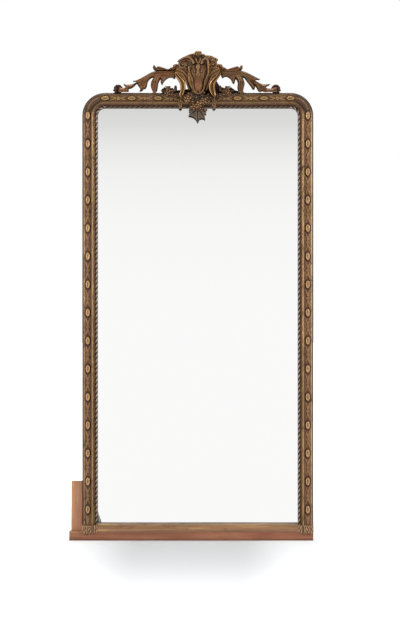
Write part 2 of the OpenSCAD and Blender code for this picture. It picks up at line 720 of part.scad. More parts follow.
// The room that a C-scroll takes out of its neighbours
scroll_w = 27;
module c_scroll_form(side) on_side(side) skin([
    for (a = concat([-50], [for (a = scroll_turn) a], [91]))
        let (p = at(scroll_at(a, -scroll_w / 2 - glue)), q = at(scroll_at(a, scroll_w / 2 + glue)))
            [[p[0], 50, p[1]], [p[0], -100, p[1]], [q[0], -100, q[1]], [q[0], 50, q[1]]]
]);

// Acanthus branch: a main stem that runs outwards and down, with lobes that curl from it
module acanthus(side) color(gilt) on_side(side) difference() {
    carved() {
        lobe([-106, 87], [-215, 108], [-312, 28], 40, 26);
        lobe([-150, 78], [-210, 92], [-262, 58], 34, 22);
        lobe([-232, 62], [-262, 70], [-284, 54], 26, 24);
        lobe([-262, 48], [-300, 28], [-322, 44], 22, 24);
        lobe([-284, 34], [-318, 34], [-307, 0], 24, 22);
        lobe([-236, 64], [-262, 44], [-254, 2], 30, 26);
        lobe([-212, 72], [-232, 48], [-228, 14], 30, 26);
        lobe([-176, 84], [-214, 44], [-188, -10], 40, 26);
        lobe([-158, 76], [-168, 54], [-155, 36], 20, 20);
        lobe([-300, 10], [-316, 12], [-330, 4], 20, 18);
    }
    c_scroll_form("left");
    knob_form();
}

// Leaf that rises over the stem from the head of the C-scroll
module top_leaf(side) color(gilt) on_side(side) difference() {
    union() {
        lobe([-84, 106], [-140, 100], [-195, 119], 26, 30);
        lobe([-130, 104], [-156, 110], [-180, 116], 18, 26);
        lobe([-84, 108], [-100, 114], [-124, 108], 18, 28);
    }
    lobe([-106, 87], [-215, 108], [-312, 28], 40 + 2 * glue, 60);
    c_scroll_form("left");
    translate([0, 0, glue]) skin([for (r = ground_rows) ground_section(r[0] - glue, r[1] + glue)]);
}

// Turned knob at the outer end of a branch
knob_r = 17;
knob_c = [-340, knob_r * drawn_h / crest_h + 0.2];
module knob_form() translate([at(knob_c)[0], 20, at(knob_c)[1]]) rotate([90, 0, 0]) cylinder(r = knob_r + glue, h = 80, $fn = 32);
module knob(side) color(gilt_bright) on_side(side) translate([at(knob_c)[0], 0, at(knob_c)[1]]) rotate([90, 0, 0])
    rotate_extrude($fn = 64) difference() {
        union() {
            translate([0, -board_y]) square([knob_r, 12 + board_y]);
            translate([knob_r - 3.5, 12]) circle(r = 3.5, $fn = 32);
            intersection() {
                translate([0, 4]) circle(r = 15, $fn = 64);
                square([9, 30]);
            }
        }
        translate([-30, -10]) square([30, 50]);
    }

// A small flower with rounded petals round a boss
module flower(c, r, back, rise) {
    p = at(c);
    translate([p[0], back, p[1]]) rotate([90, 0, 0]) {
        for (k = [0:4]) rotate(90 + 72 * k) hull() translate([r * 0.56, 0])
            cylinder(r1 = r * 0.5, r2 = r * 0.22, h = rise * 0.8, $fn = 4);
        cylinder(r1 = r * 0.36, r2 = r * 0.16, h = rise, $fn = 5);
    }
}

// Flower sprigs that stand on the frame between the C-scrolls and the branches
module sprig(side) color(gilt) on_side(side) difference() {
    carved() {
        flower([-149, 12], 13, 0, 24);
        flower([-129, 20], 13, 0, 28);
        flower([-124, -2], 13, 0, 26 + lap_clear);
        lobe([-140, -4], [-146, 14], [-158, 34], 14, 18);
        lobe([-112, -6], [-104, 12], [-98, 34], 16, 18);
    }
    c_scroll_form("left");
}

// Garland of small flowers across the front of the top rail, on a ground that narrows to the pendant
garland_places = [[-48, -18], [-34, -33], [-15, -44], [9, -46], [29, -42], [43, -29], [52, -16], [-20, -22], [24, -19]];
garland_rows = [[-11, 60], [-24, 54], [-38, 44], [-52, 34], [-66, 22]];
garland_t = 8;
function garland_section(h, w) =
    let (z = at([0, h])[1], x = at([w, 0])[0])
        [[-x, -lap_clear, z], [-x, -lap_clear - garland_t / 2, z], [0, -lap_clear - garland_t, z], [x, -lap_clear - garland_t / 2, z], [x, -lap_clear, z]];
module garland() color(gilt) difference() {
    union() {
        skin([for (r = garland_rows) garland_section(r[0], r[1])]);
        for (p = garland_places) flower(p, 13, -lap_clear, 17);
        flower([4, -57], 12, -lap_clear, 18);
    }
    block([-100, -100, frame_h - crest_h], [100, 0, at([0, -66])[1]]);
    skin([for (r = body_rows) arch_section(r[0] - glue, r[1] + 5, r[2] + 20)]);
    for (side = ["left", "right"]) c_scroll_form(side);
}

// Palmette that hangs from the garland in front of the glass
pendant_tips = [[-36, -82, 22], [-35, -104, 24], [-16, -112, 18], [-1, -128, 26], [30, -115, 26], [37, -80, 22]];
module pendant_leaf() color(gilt) difference() {
    for (tip = pendant_tips)
        lobe([tip[0] * 0.3 + 2, -60], [tip[0] * 0.9, -78], [tip[0], tip[1]], tip[2], 15, -lap_clear, 3);
    block([-100, -100, at([0, -66])[1] - glue], [100, 0, frame_h]);
}

// Husks that hang from the feet of the C-scrolls
module husk_drops() color(gilt) difference() {
    for (x = [-76, 71], k = [0:2])
        lobe([x, -24 - k * 15], [x - 4, -36 - k * 15], [x, -50 - k * 15], 17 - 2 * k, 13, -lap_clear, 2);
    for (side = ["left", "right"]) c_scroll_form(side);
}

base_board();
side_board();
board_screws();
carcass_stile("left");  // carcass_stile_left
carcass_stile("right");  // carcass_stile_right
carcass_top_rail();
carcass_bottom_rail();
cross_rails();
joint_pegs();
setting_blocks();
mirror_plate();
glazing_wedges();
back_panel(0);  // back_panel_lower
back_panel(1);  // back_panel_middle
back_panel(2);  // back_panel_upper
panel_screws();
stile("left");  // stile_left
stile("right");  // stile_right
top_rail();
corner("left");  // corner_left
corner("right");  // corner_right
sill();
foot_block("left");  // foot_block_left
foot_block("right");  // foot_block_right
rope_side("left");  // rope_left
rope_top();
rope_side("right");  // rope_right
cabochons_side("left");  // cabochons_left
cabochons_top();
cabochons_side("right");  // cabochons_right
leafage_side("left");  // leafage_left
leafage_top();
leafage_side("right");  // leafage_right
crest_board();
crest_battens();
batten_screws();
cartouche();
tongue_panel();
crest_shell();
ear_volute("left");  // ear_volute_left
ear_volute("right");  // ear_volute_right
c_scroll("left");  // c_scroll_left
c_scroll("right");  // c_scroll_right
acanthus("left");  // acanthus_left
acanthus("right");  // acanthus_right
top_leaf("left");  // top_leaf_left
top_leaf("right");  // top_leaf_right
knob("left");  // knob_left
knob("right");  // knob_right
sprig("left");  // sprig_left
sprig("right");  // sprig_right
garland();
pendant_leaf();
husk_drops();
hanger_strap("left");  // hanger_strap_left
hanger_strap("right");  // hanger_strap_right
hanger_ring("left");  // hanger_ring_left
hanger_ring("right");  // hanger_ring_right
hanger_screws();
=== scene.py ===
import itertools
import math
import random

import bmesh
import bpy
from mathutils import Matrix, Vector
from mathutils.bvhtree import BVHTree
from mathutils.geometry import delaunay_2d_cdt
from mathutils.kdtree import KDTree


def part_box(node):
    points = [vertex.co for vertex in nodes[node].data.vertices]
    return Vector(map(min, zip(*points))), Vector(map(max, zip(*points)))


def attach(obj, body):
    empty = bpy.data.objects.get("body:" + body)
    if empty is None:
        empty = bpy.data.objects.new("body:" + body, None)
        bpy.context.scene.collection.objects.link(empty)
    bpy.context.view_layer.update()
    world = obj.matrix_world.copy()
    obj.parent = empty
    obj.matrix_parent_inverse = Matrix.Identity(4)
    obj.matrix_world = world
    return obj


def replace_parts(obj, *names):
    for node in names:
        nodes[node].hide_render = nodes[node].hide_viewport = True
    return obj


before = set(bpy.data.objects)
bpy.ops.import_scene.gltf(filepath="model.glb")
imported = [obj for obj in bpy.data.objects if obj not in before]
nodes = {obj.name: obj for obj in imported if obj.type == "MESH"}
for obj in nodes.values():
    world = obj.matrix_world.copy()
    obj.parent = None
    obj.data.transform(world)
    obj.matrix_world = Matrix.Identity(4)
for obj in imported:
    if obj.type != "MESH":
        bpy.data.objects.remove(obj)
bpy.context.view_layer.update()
scene = bpy.context.scene

# The camera stands straight in front of the mirror, at half its height and far away, so that the two stiles
# look parallel. Its picture is 2.68 m high where the moulding's face is.
camera_at = Vector((0.0095, -10.0, 0.997))
face_y = -0.03
picture_h = 2.680
film_h = 24
camera = bpy.data.objects.new("camera", bpy.data.cameras.new("camera"))
scene.collection.objects.link(camera)
camera.location = camera_at
camera.rotation_euler = (math.radians(90), 0, 0)
camera.data.sensor_fit = "VERTICAL"
camera.data.sensor_height = film_h
camera.data.lens = film_h * (face_y - camera_at.y) / picture_h
camera.data.clip_end = 200
scene.camera = camera
scene.view_settings.view_transform = "Standard"


# Base board: a length of pine on which the whole frame stands, painted red-brown and worn. It passes the
# frame at the left. Its arrises are softened and bruised with age, and its lower edge is dark. A pale band
# along its upper edge is painted light, lifting the shade under the sill.
class Value:
    """A socket of a finish. Sums on it add Math nodes, also with the number on the left."""

    def __init__(self, finish, socket):
        self.finish = finish
        self.socket = socket

    def math(self, operation, *values, held=False):
        settings = {"operation": operation, "use_clamp": held}
        return self.finish.node("ShaderNodeMath", settings, dict(enumerate(values)))

    def __add__(self, other):
        return self.math("ADD", self, other)

    def __sub__(self, other):
        return self.math("SUBTRACT", self, other)

    def __rsub__(self, other):
        return self.math("SUBTRACT", other, self)

    def __mul__(self, other):
        return self.math("MULTIPLY", self, other)

    def __truediv__(self, other):
        return self.math("DIVIDE", self, other)

    def __pow__(self, other):
        return self.math("POWER", self, other)

    __radd__ = __add__
    __rmul__ = __mul__

    def size(self):
        return self.math("ABSOLUTE", self)

    def least(self, bound):
        """The value, but nowhere less than a bound."""
        return self.math("MAXIMUM", self, bound)

    def held(self):
        """The value, kept between 0 and 1."""
        return self.math("ADD", self, 0, held=True)

    def step(self, low, high):
        """A soft step: 0 below low, 1 above high, or the other way round where low is the higher."""
        values = {"Value": self, "From Min": min(low, high), "From Max": max(low, high)}
        values |= {"To Min": float(low > high), "To Max": float(low <= high)}
        return self.finish.node("ShaderNodeMapRange", {"interpolation_type": "SMOOTHSTEP"}, values)


class Finish:
    """The nodes of one finish: of a new material with its name, or of the world that is given."""

    def __init__(self, name, owner=None):
        self.owner = owner or bpy.data.materials.new(name)
        self.owner.use_nodes = True
        self.tree = self.owner.node_tree
        self.tree.nodes.clear()
        self.where = self.node("ShaderNodeTexCoord", out="Object")

    def node(self, kind, settings=None, values=None, out=0):
        """Adds a node. Its settings come first, a ramp's stops among them, then its sockets' values or
        links."""
        made = self.tree.nodes.new(kind)
        for name, setting in (settings or {}).items():
            if name == "stops":
                ramp = made.color_ramp
                while len(ramp.elements) < len(setting):
                    ramp.elements.new(1.0)
                for element, (place, color) in zip(ramp.elements, setting):
                    element.position = place
                    element.color = color
            else:
                setattr(made, name, setting)
        for name, value in (values or {}).items():
            if isinstance(value, Value):
                self.tree.links.new(value.socket, made.inputs[name])
            else:
                made.inputs[name].default_value = value
        return Value(self, made.outputs[out])

    def cloud(self, scale, detail=4, stretch=(1, 1, 1), rough=0.55, twist=0.0):
        """A noise in the piece's own coordinates, finer along the axes that are stretched more."""
        place = self.node("ShaderNodeVectorMath", {"operation": "MULTIPLY"}, {0: self.where, 1: stretch})
        values = {
            "Vector": place, "Scale": scale, "Detail": detail, "Roughness": rough, "Distortion": twist,
        }
        return self.node("ShaderNodeTexNoise", None, values)

    def axes(self):
        return [self.node("ShaderNodeSeparateXYZ", None, {0: self.where}, out=axis) for axis in range(3)]

    def mix(self, mask, color, other):
        return self.node("ShaderNodeMix", {"data_type": "RGBA"}, {0: mask, 6: color, 7: other}, out=2)

    def shade(self, color, factor):
        """Multiplies a colour by a number."""
        grey = self.node("ShaderNodeCombineColor", None, {0: factor, 1: factor, 2: factor})
        values = {0: 1.0, 6: color, 7: grey}
        return self.node("ShaderNodeMix", {"data_type": "RGBA", "blend_type": "MULTIPLY"}, values, out=2)

    def ramp(self, stops, place):
        """A row of colours, each at its place from 0 to 1."""
        return self.node("ShaderNodeValToRGB", {"stops": stops}, {"Fac": place})

    def noted(self, name):
        """What the piece's points were given under a name."""
        return self.node("ShaderNodeAttribute", {"attribute_name": name}, out="Fac")

    def close(self, color, roughness, metallic=0.0, bump=None, depth=0.001, strength=0.5):
        """Ends the finish in one Principled shader, with a bump where a height is given."""
        values = {"Base Color": color, "Roughness": roughness, "Metallic": metallic}
        if bump is not None:
            heights = {"Height": bump, "Strength": strength, "Distance": depth}
            values["Normal"] = self.node("ShaderNodeBump", None, heights)
        return self.end(self.node("ShaderNodeBsdfPrincipled", None, values))

    def end(self, shader, kind="ShaderNodeOutputMaterial"):
        made = self.tree.nodes.new(kind)
        self.tree.links.new(shader.socket, made.inputs["Surface"])
        return self.owner


def tint(red, green, blue):
    """A colour as the eye reads it, 0 to 255, in the linear numbers of a shader."""
    return tuple(((part / 255 + 0.055) / 1.055) ** 2.4 for part in (red, green, blue)) + (1.0,)


def wood(name, along, light, dark, stain, bare=0.0, dark_below=0.0, painted_light_top=0.0):
    """Planed softwood with its grain along one axis: streaks, fine pores, slow stains and rubbed places.
    One height gives how far up from its lower edge it is darker, and another an upper edge painted pale:
    painted light that lifts the shade cast on it from above."""
    finish = Finish(name)
    stretch = [11.0, 11.0, 11.0]
    stretch["xyz".index(along)] = 0.7
    streak = finish.cloud(3.2, 6, stretch, twist=0.6)
    pores = finish.cloud(26, 4, stretch, rough=0.7)
    patch = finish.cloud(5.5, 5)
    wear = (finish.cloud(19, 6) + patch * 0.8).step(0.9, 1.14)
    color = finish.mix(streak.step(0.3, 0.72), dark, light)
    color = finish.mix(patch.step(0.5, 0.72) * 0.6, color, stain)
    color = finish.mix(wear * bare, color, tint(196, 156, 122))
    color = finish.shade(color, 0.86 + pores.step(0.3, 0.6) * 0.2)
    if dark_below:
        foot = (finish.axes()[2] + streak * 0.003).step(dark_below, dark_below * 0.3)
        color = finish.mix(foot * 0.55, color, tint(72, 46, 38))
    # Painted light: a pale band along the upper edge, lifting the shade cast on it from above.
    if painted_light_top:
        edge = (finish.axes()[2] + streak * 0.002).step(painted_light_top - 0.006, painted_light_top)
        color = finish.mix(edge * 0.6, color, tint(190, 144, 106))
    roughness = 0.6 + streak * 0.12 + patch * 0.06
    return finish.close(color, roughness, bump=streak * 0.6 + pores * 0.4, depth=0.0008, strength=0.35)


def put(mesh, name, material, body="root", smooth=35):
    """Makes a piece of a finished bmesh, with its finish and its body."""
    bmesh.ops.recalc_face_normals(mesh, faces=mesh.faces)
    data = bpy.data.meshes.new(name)
    mesh.to_mesh(data)
    mesh.free()
    data.materials.append(material)
    data.shade_smooth()
    data.set_sharp_from_angle(angle=math.radians(smooth))
    piece = bpy.data.objects.new(name, data)
    scene.collection.objects.link(piece)
    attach(piece, body)
    return piece


touch = 1e-6


def blank(mesh, low, high, unit=1.0):
    """Adds a plain block between two corners, given in metres or in another unit."""
    box = Matrix.Translation((low + high) / 2 * unit) @ Matrix.Diagonal((*((high - low) * unit), 1))
    bmesh.ops.create_cube(mesh, size=1, matrix=box)


def board(low, high, ease, bruise, seed):
    """A sawn board between two corners, its arrises eased and a little bruised, nowhere outside its box."""
    mesh = bmesh.new()
    blank(mesh, low, high)
    size = high - low
    longest = max(range(3), key=lambda axis: size[axis])
    station = 0.02
    along = [e for e in mesh.edges if abs((e.verts[0].co - e.verts[1].co)[longest]) > size[longest] / 2]
    bmesh.ops.subdivide_edges(mesh, edges=along, cuts=round(size[longest] / station))
    edges = [e for e in mesh.edges if len(e.link_faces) == 2 and e.calc_face_angle() > 1]
    shape = {"offset": ease, "offset_type": "OFFSET", "segments": 3, "profile": 0.5}
    bmesh.ops.bevel(mesh, geom=edges, affect="EDGES", material=-1, **shape)

    def on_side(vert, axis):
        return min(abs(vert.co[axis] - low[axis]), abs(vert.co[axis] - high[axis])) <= touch

    middle = (low + high) / 2
    hand = random.Random(seed)
    for vert in mesh.verts:
        if sum(on_side(vert, axis) for axis in range(3)) < 2:
            vert.co += (middle - vert.co).normalized() * bruise * hand.random()
    return mesh


board_paint = wood(
    "board_paint", "x", tint(164, 106, 75), tint(130, 80, 56), tint(132, 74, 54), bare=0.1, dark_below=0.012,
    painted_light_top=0.039,
)
low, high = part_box("base_board")
base = put(board(low, high, ease=0.002, bruise=0.0006, seed=3), "base_board_worn", board_paint)
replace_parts(base, "base_board")

# Side board: a short upright length of lighter wood against the left stile, rubbed bare, held by two screws
# through its edge.
side_wood = wood("side_wood", "z", tint(204, 152, 112), tint(172, 122, 86), tint(188, 124, 106), bare=0.3)
low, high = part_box("side_board")
side = put(board(low, high, ease=0.002, bruise=0.0008, seed=5), "side_board_worn", side_wood)
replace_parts(side, "side_board")


def rusty_steel():
    finish = Finish("screw_steel")
    rust = (finish.cloud(160, 5) + finish.cloud(40, 3) * 0.5).step(0.78, 0.95)
    color = finish.mix(rust, tint(146, 140, 132), tint(104, 72, 52))
    return finish.close(color, 0.42 + rust * 0.4, 0.9 - rust * 0.7, bump=rust, depth=0.0002)


def dress(material, *names):
    """Gives CAD nodes a finish."""
    for name in names:
        nodes[name].data.materials.clear()
        nodes[name].data.materials.append(material)


dress(rusty_steel(), "board_screws", "panel_screws", "batten_screws", "hanger_screws")

# Carcass: bare pine, halved at the corners and pegged with oak, with two cross rails between the stiles. It
# has gone brown with age, and none of it shows from the front.
pine_up = wood("pine_up", "z", tint(176, 138, 98), tint(140, 102, 68), tint(112, 84, 60))
pine_across = wood("pine_across", "x", tint(172, 134, 94), tint(136, 98, 66), tint(110, 82, 58))
peg_wood = wood("peg_wood", "y", tint(134, 98, 66), tint(96, 68, 46), tint(84, 60, 42))
dress(pine_up, "carcass_stile_left", "carcass_stile_right", "crest_battens")
dress(pine_across, "carcass_top_rail", "carcass_bottom_rail", "cross_rails")
dress(pine_across, "setting_blocks", "glazing_wedges")
dress(peg_wood, "joint_pegs")

# Back panels: three thin boards of wide-grained pine behind the plate, brown with age. They lie in a rebate
# of the carcass and are held by screws, so that the glass can be reached.
panel_wood = wood("panel_wood", "x", tint(164, 124, 84), tint(122, 88, 58), tint(98, 74, 54))
dress(panel_wood, "back_panel_lower", "back_panel_middle", "back_panel_upper")

# Mirror plate: silvered glass with a narrow bevel along its edges, of which the frame leaves a thin bright
# line in view. The silvering is lost in the lower left corner, and a few spots show beside the frame.
plate_bevel = 0.019
bevel_depth = 0.0009
sight_x = 0.434
lost_top = 0.128


def plate():
    mesh = bmesh.new()
    low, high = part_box("mirror_plate")
    blank(mesh, low, high)
    front = [face for face in mesh.faces if face.normal.y < -0.5]
    bmesh.ops.inset_region(mesh, faces=front, thickness=plate_bevel, use_even_offset=True)
    for vert in mesh.verts:
        outer = min(abs(vert.co.x - low.x), abs(vert.co.x - high.x)) < touch
        if outer and abs(vert.co.y - low.y) < touch:
            vert.co.y += bevel_depth
    return mesh


def silver():
    """Silvering, and where it is lost a grey and rough back with a paler streak in it."""
    finish = Finish("silvering")
    x, _, z = finish.axes()
    rough_edge = finish.cloud(60, 5)
    width = (lost_top - z) * 0.32 + (rough_edge - 0.5) * 0.006
    lost = (width - (x + sight_x)).step(-0.001, 0.001)
    streak = (width * 0.55 - (x + sight_x)).size().step(0.005, 0.001) * z.step(0.124, 0.110)
    beside_frame = (x.size() - sight_x + 0.02).step(0, 0.02)
    foxed = (finish.cloud(220, 3) + beside_frame * 0.12).step(0.74, 0.78) * beside_frame
    color = finish.mix(lost, (0.97, 0.966, 0.964, 1), tint(84, 86, 80))
    color = finish.mix(lost * streak, color, tint(180, 184, 176))
    color = finish.mix(foxed * 0.5, color, tint(150, 150, 140))
    roughness = 0.015 + lost * 0.6 + foxed * 0.2
    return finish.close(color, roughness, 1.0 - lost)


glass = put(plate(), "mirror_plate_silvered", silver(), smooth=1)
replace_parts(glass, "mirror_plate")

# Moulding: the two stiles, the top rail and two rounded corners, run in wood, covered with chalk ground and
# red clay and gilded. Its colour follows the section, from the outer lip over bead, sunk frieze and round
# fillet to the bed of the rope. The bright fillet is partly painted highlight, and a pale band where the
# fillet shades the frieze is painted light. It has rubbed gold and grime in patches, is darker and duller
# along the top and at the corners, and its right stile is painted lighter, as light from that side.
frame_top = 1.937
half_w = 0.5
corner_r = 0.099
member_w = 0.066
# The stops across the section, in millimetres in from the outer edge. The bright fillet is partly painted
# highlight, and the pale stop at 35 mm is painted light over the fillet's shadow on the frieze.
section = [
    (0.0, tint(60, 48, 32)), (2.2, tint(94, 80, 58)), (5.4, tint(106, 84, 60)), (7.2, tint(150, 122, 92)),
    (9.4, tint(186, 152, 114)), (11.2, tint(160, 124, 84)), (13.0, tint(130, 96, 64)),
    (15.5, tint(114, 82, 55)), (24.0, tint(108, 74, 54)), (31.0, tint(112, 80, 58)),
    (35.0, tint(142, 106, 78)), (38.8, tint(98, 66, 40)), (41.4, tint(112, 82, 46)),
    (43.2, tint(160, 130, 84)), (46.6, tint(162, 126, 80)), (48.6, tint(104, 74, 40)),
    (51.0, tint(68, 40, 18)), (53.6, tint(90, 58, 30)), (56.5, tint(104, 74, 48)), (66.0, tint(54, 40, 30)),
]


def worn_gold():
    """Old water gilding. inset is how far a place lies from the moulding's outer edge."""
    finish = Finish("moulding_gold")
    x, _, z = finish.axes()
    side = (x.size() - (half_w - corner_r)).least(0)
    rise = (z - (frame_top - corner_r)).least(0)
    inset = corner_r - (side * side + rise * rise) ** 0.5
    wander = (finish.cloud(34, 4) - 0.5) * 0.0016
    place = (inset + wander) / member_w
    color = finish.ramp([(at / section[-1][0], stop) for at, stop in section], place)
    slow = finish.cloud(8, 4)
    patch = finish.cloud(42, 6, rough=0.62)
    fine = finish.cloud(240, 5, rough=0.7)
    olive = finish.cloud(13, 3).step(0.56, 0.7)
    mauve = finish.cloud(17, 3).step(0.53, 0.66)
    clay = (patch * 0.75 + fine * 0.25).step(0.535, 0.62)
    grime = (finish.cloud(27, 6, rough=0.7) * 0.8 + fine * 0.2).step(0.47, 0.36)
    gold = (fine * 0.6 + patch * 0.4).step(0.57, 0.66) * slow.step(0.44, 0.6)
    near_top = z.step(1.82, 1.885)
    corner = side.step(0.002, 0.03) * rise.step(0.002, 0.03)
    outer_lip = place.step(0.2, 0.12)
    rope_bed_line = (place - 0.79).size().step(0.07, 0.02)
    color = finish.shade(color, 0.78 + slow.step(0.3, 0.7) * 0.42)
    color = finish.mix(near_top * 0.55, color, tint(108, 74, 34))
    color = finish.shade(color, 1 - near_top * outer_lip * 0.4)
    color = finish.mix(near_top * rope_bed_line * 0.6, color, tint(84, 46, 26))
    # Darker at the corners; the right stile is painted lighter, as painted light from its side, except
    # along the top.
    color = finish.shade(color, 1 - near_top * 0.08 - corner * 0.38 + x.step(0.3, 0.45) * (0.32 - near_top * 0.3))
    color = finish.mix(olive * 0.42, color, tint(122, 102, 48))
    color = finish.mix(mauve * 0.4, color, tint(104, 68, 62))
    color = finish.mix(clay * 0.5, color, tint(112, 60, 40))
    color = finish.mix(grime * 0.65, color, tint(46, 30, 20))
    color = finish.mix(gold * 0.5, color, tint(200, 162, 112))
    roughness = 0.44 + clay * 0.2 + grime * 0.16 - gold * 0.1 + near_top * 0.2
    metal = 0.6 * (1 - clay * 0.7) * (1 - near_top * 0.8)
    return finish.close(color, roughness, metal, bump=patch * 0.6 + fine * 0.4, depth=0.0006)


dress(worn_gold(), "stile_left", "stile_right", "top_rail", "corner_left", "corner_right")

# Sill: a plain slip of wood along the foot of the glass, its front run with a bead. Little of its gold is
# left, and the yellow ground shows everywhere. A pale grey band near its top is a painted reflection of the
# glass's bevel, and its top edge is painted darker as shadow against the glass.
sill_low = 0.039
sill_high = 0.0744


def sill_finish():
    finish = Finish("sill_ochre")
    z = finish.axes()[2]
    run = finish.cloud(9, 5, (0.5, 6, 9), rough=0.62)
    patch = finish.cloud(24, 6, (0.6, 1, 1.6))
    fine = finish.cloud(210, 5, (0.5, 1, 1), rough=0.7)
    place = (z - sill_low + (patch - 0.5) * 0.004) / (sill_high - sill_low)
    # Up the sill: a pale grey band near the top is painted reflection of the glass's bevel, and the top
    # edge is painted shadow against the glass.
    stops = [
        (0.0, tint(150, 108, 80)), (0.1, tint(150, 110, 80)), (0.3, tint(164, 122, 86)),
        (0.62, tint(158, 116, 76)), (0.74, tint(150, 114, 78)), (0.84, tint(160, 136, 110)),
        (0.92, tint(150, 132, 112)), (1.0, tint(120, 106, 92)),
    ]
    color = finish.shade(finish.ramp(stops, place), 0.7 + run.step(0.3, 0.7) * 0.5)
    color = finish.mix(patch.step(0.54, 0.66) * 0.55, color, tint(122, 74, 54))
    color = finish.mix(run.step(0.57, 0.66) * 0.5, color, tint(206, 172, 118))
    color = finish.mix(fine.step(0.6, 0.7) * 0.4, color, tint(88, 64, 46))
    return finish.close(color, 0.5 + patch * 0.2, 0.15, bump=run * 0.5 + fine * 0.5, depth=0.0006)


dress(sill_finish(), "sill")

# Foot blocks: one under each stile, lapping down over the front of the base board. Each is a core of wood
# with leaves carved on its face and gilded, their tips ragged with wear along the lower edge.
mm = 0.001
top_z = 1937.0
sides = ((1, "left"), (-1, "right"))
layer = itertools.count()


def next_layer():
    """How far a carved form's back is set off, so that no two that overlap lie in one plane."""
    return next(layer) % 8 * 0.05


def level(depth):
    """A face or a back that lies at one depth."""
    return lambda place: depth


def smooth_path(places, count):
    """A rounded line of count + 1 places through the given ones."""
    held = [places[0], *places, places[-1]]
    line = []
    for k in range(count + 1):
        at = k / count * (len(places) - 1)
        i = min(int(at), len(places) - 2)
        t = at - i
        a, b, c, d = held[i : i + 4]
        place = 2 * b + (c - a) * t
        place += (2 * a - 5 * b + 4 * c - d) * t * t
        place += (3 * b - a - 3 * c + d) * t**3
        line.append(0.5 * place)
    return line


def walk(places, step, up):
    """A smooth line through places given from a height, in steps of about the length asked for."""
    line = [Vector((x, up + h)) for x, h in places]
    length = sum((b - a).length for a, b in zip(line, line[1:]))
    return smooth_path(line, max(1, round(length / step)))


def near(lines):
    """The distance from a place to the nearest of the points of some lines."""
    points = [point for line in lines for point in line]
    tree = KDTree(len(points))
    for index, point in enumerate(points):
        tree.insert((point.x, point.y, 0), index)
    tree.balance()
    return lambda place: tree.find((place.x, place.y, 0))[2]


def carve(mesh, strokes, veins, high, back, edge=5.0, cut=2.2, round_off=0.5, step=2.0, up=top_z):
    """A carved form with any outline, in millimetres above a height. The outline runs in strokes from one
    corner to the next, and rounds over at its edge. Veins are grooves cut into its face, which swells
    between them."""
    off = next_layer()
    row_h = 0.87
    groove_w = 2.3
    rim = []
    for stroke, following in zip(strokes, strokes[1:] + strokes[:1]):
        rim += walk(stroke + following[:1], step, up)[:-1]
    to_rim = near([rim])
    to_vein = near([walk(vein, 0.8, up) for vein in veins]) if veins else None
    inner = []
    low = Vector((min(p.x for p in rim), min(p.y for p in rim)))
    wide = max(p.x for p in rim) - low.x
    tall = max(p.y for p in rim) - low.y
    for j in range(int(tall / step / row_h) + 1):
        for i in range(int(wide / step) + 1):
            place = low + Vector((i + 0.5 * (j % 2), j * row_h)) * step
            if to_rim(place) > step * 0.7:
                inner.append(place)
    loop = [(k, (k + 1) % len(rim)) for k in range(len(rim))]
    points, _, faces, *_ = delaunay_2d_cdt(rim + inner, loop, [], 1, 1e-5)
    verts = {}
    for index in dict.fromkeys(index for face in faces for index in face):
        place = points[index]
        seat = back(place.y)
        crown = high(place)
        inset = min(1, to_rim(place) / edge)
        depth = seat + (crown - seat) * (1 - round_off * (1 - inset) ** 2)
        if to_vein:
            groove = math.exp(-((to_vein(place) / groove_w) ** 2))
            depth -= 1.7 * cut * groove * min(1, inset * 1.6)
        verts[index] = mesh.verts.new((place.x * mm, -depth * mm, place.y * mm))
    made = [mesh.faces.new([verts[index] for index in face]) for face in faces]
    rim_edges = [e for e in dict.fromkeys(e for face in made for e in face.edges) if e.is_boundary]
    grown = bmesh.ops.extrude_edge_only(mesh, edges=rim_edges)["geom"]
    for vert in grown:
        if isinstance(vert, bmesh.types.BMVert):
            vert.co.y = -(back(vert.co.z / mm) + off) * mm
    behind = [item for item in grown if isinstance(item, bmesh.types.BMEdge) and item.is_boundary]
    bmesh.ops.edgeloop_fill(mesh, edges=behind)


def weather(mesh, reach=0.014, paint_side_shade=True):
    """Notes on each point how open it lies and how far it stands out, for the dirt, the rubbed gold and its
    painted highlight. The side walls of a carving are marked as shut in, a painted shade that darkens its
    outlines."""
    bmesh.ops.recalc_face_normals(mesh, faces=mesh.faces)
    mesh.normal_update()
    open_layer = mesh.verts.layers.float.new("open")
    ridge_layer = mesh.verts.layers.float.new("ridge")
    tree = BVHTree.FromBMesh(mesh)
    rays = 12
    golden_turn = 2.399963
    fan = []
    for ray in range(rays):
        lean = math.acos(1 - (ray + 0.5) / rays * 0.85)
        turn = ray * golden_turn
        fan.append(
            Vector((math.sin(lean) * math.cos(turn), math.sin(lean) * math.sin(turn), math.cos(lean)))
        )
    clean_layer = mesh.verts.layers.float.get("clean")
    for vert in mesh.verts:
        turned = vert.normal.to_track_quat("Z", "Y")
        start = vert.co + vert.normal * 0.0003
        hits = sum(tree.ray_cast(start, turned @ way, reach)[0] is not None for way in fan)
        vert[open_layer] = 1 - hits / len(fan)
        bends = [(e.other_vert(vert).co - vert.co).normalized().dot(vert.normal) for e in vert.link_edges]
        vert[ridge_layer] = min(1, max(0, 0.5 - 1.6 * sum(bends) / max(1, len(bends))))
        # Painted shade: the side walls are marked less open, so that the outlines of a carving come out
        # dark.
        if paint_side_shade and any(abs(face.normal.y) < 0.2 for face in vert.link_faces):
            vert[open_layer] *= 0.55
            vert[ridge_layer] = 0.36
        if clean_layer and vert[clean_layer]:
            vert[open_layer] = abs(vert[clean_layer])
            vert[ridge_layer] = 0.5 + 0.5 * vert[clean_layer]


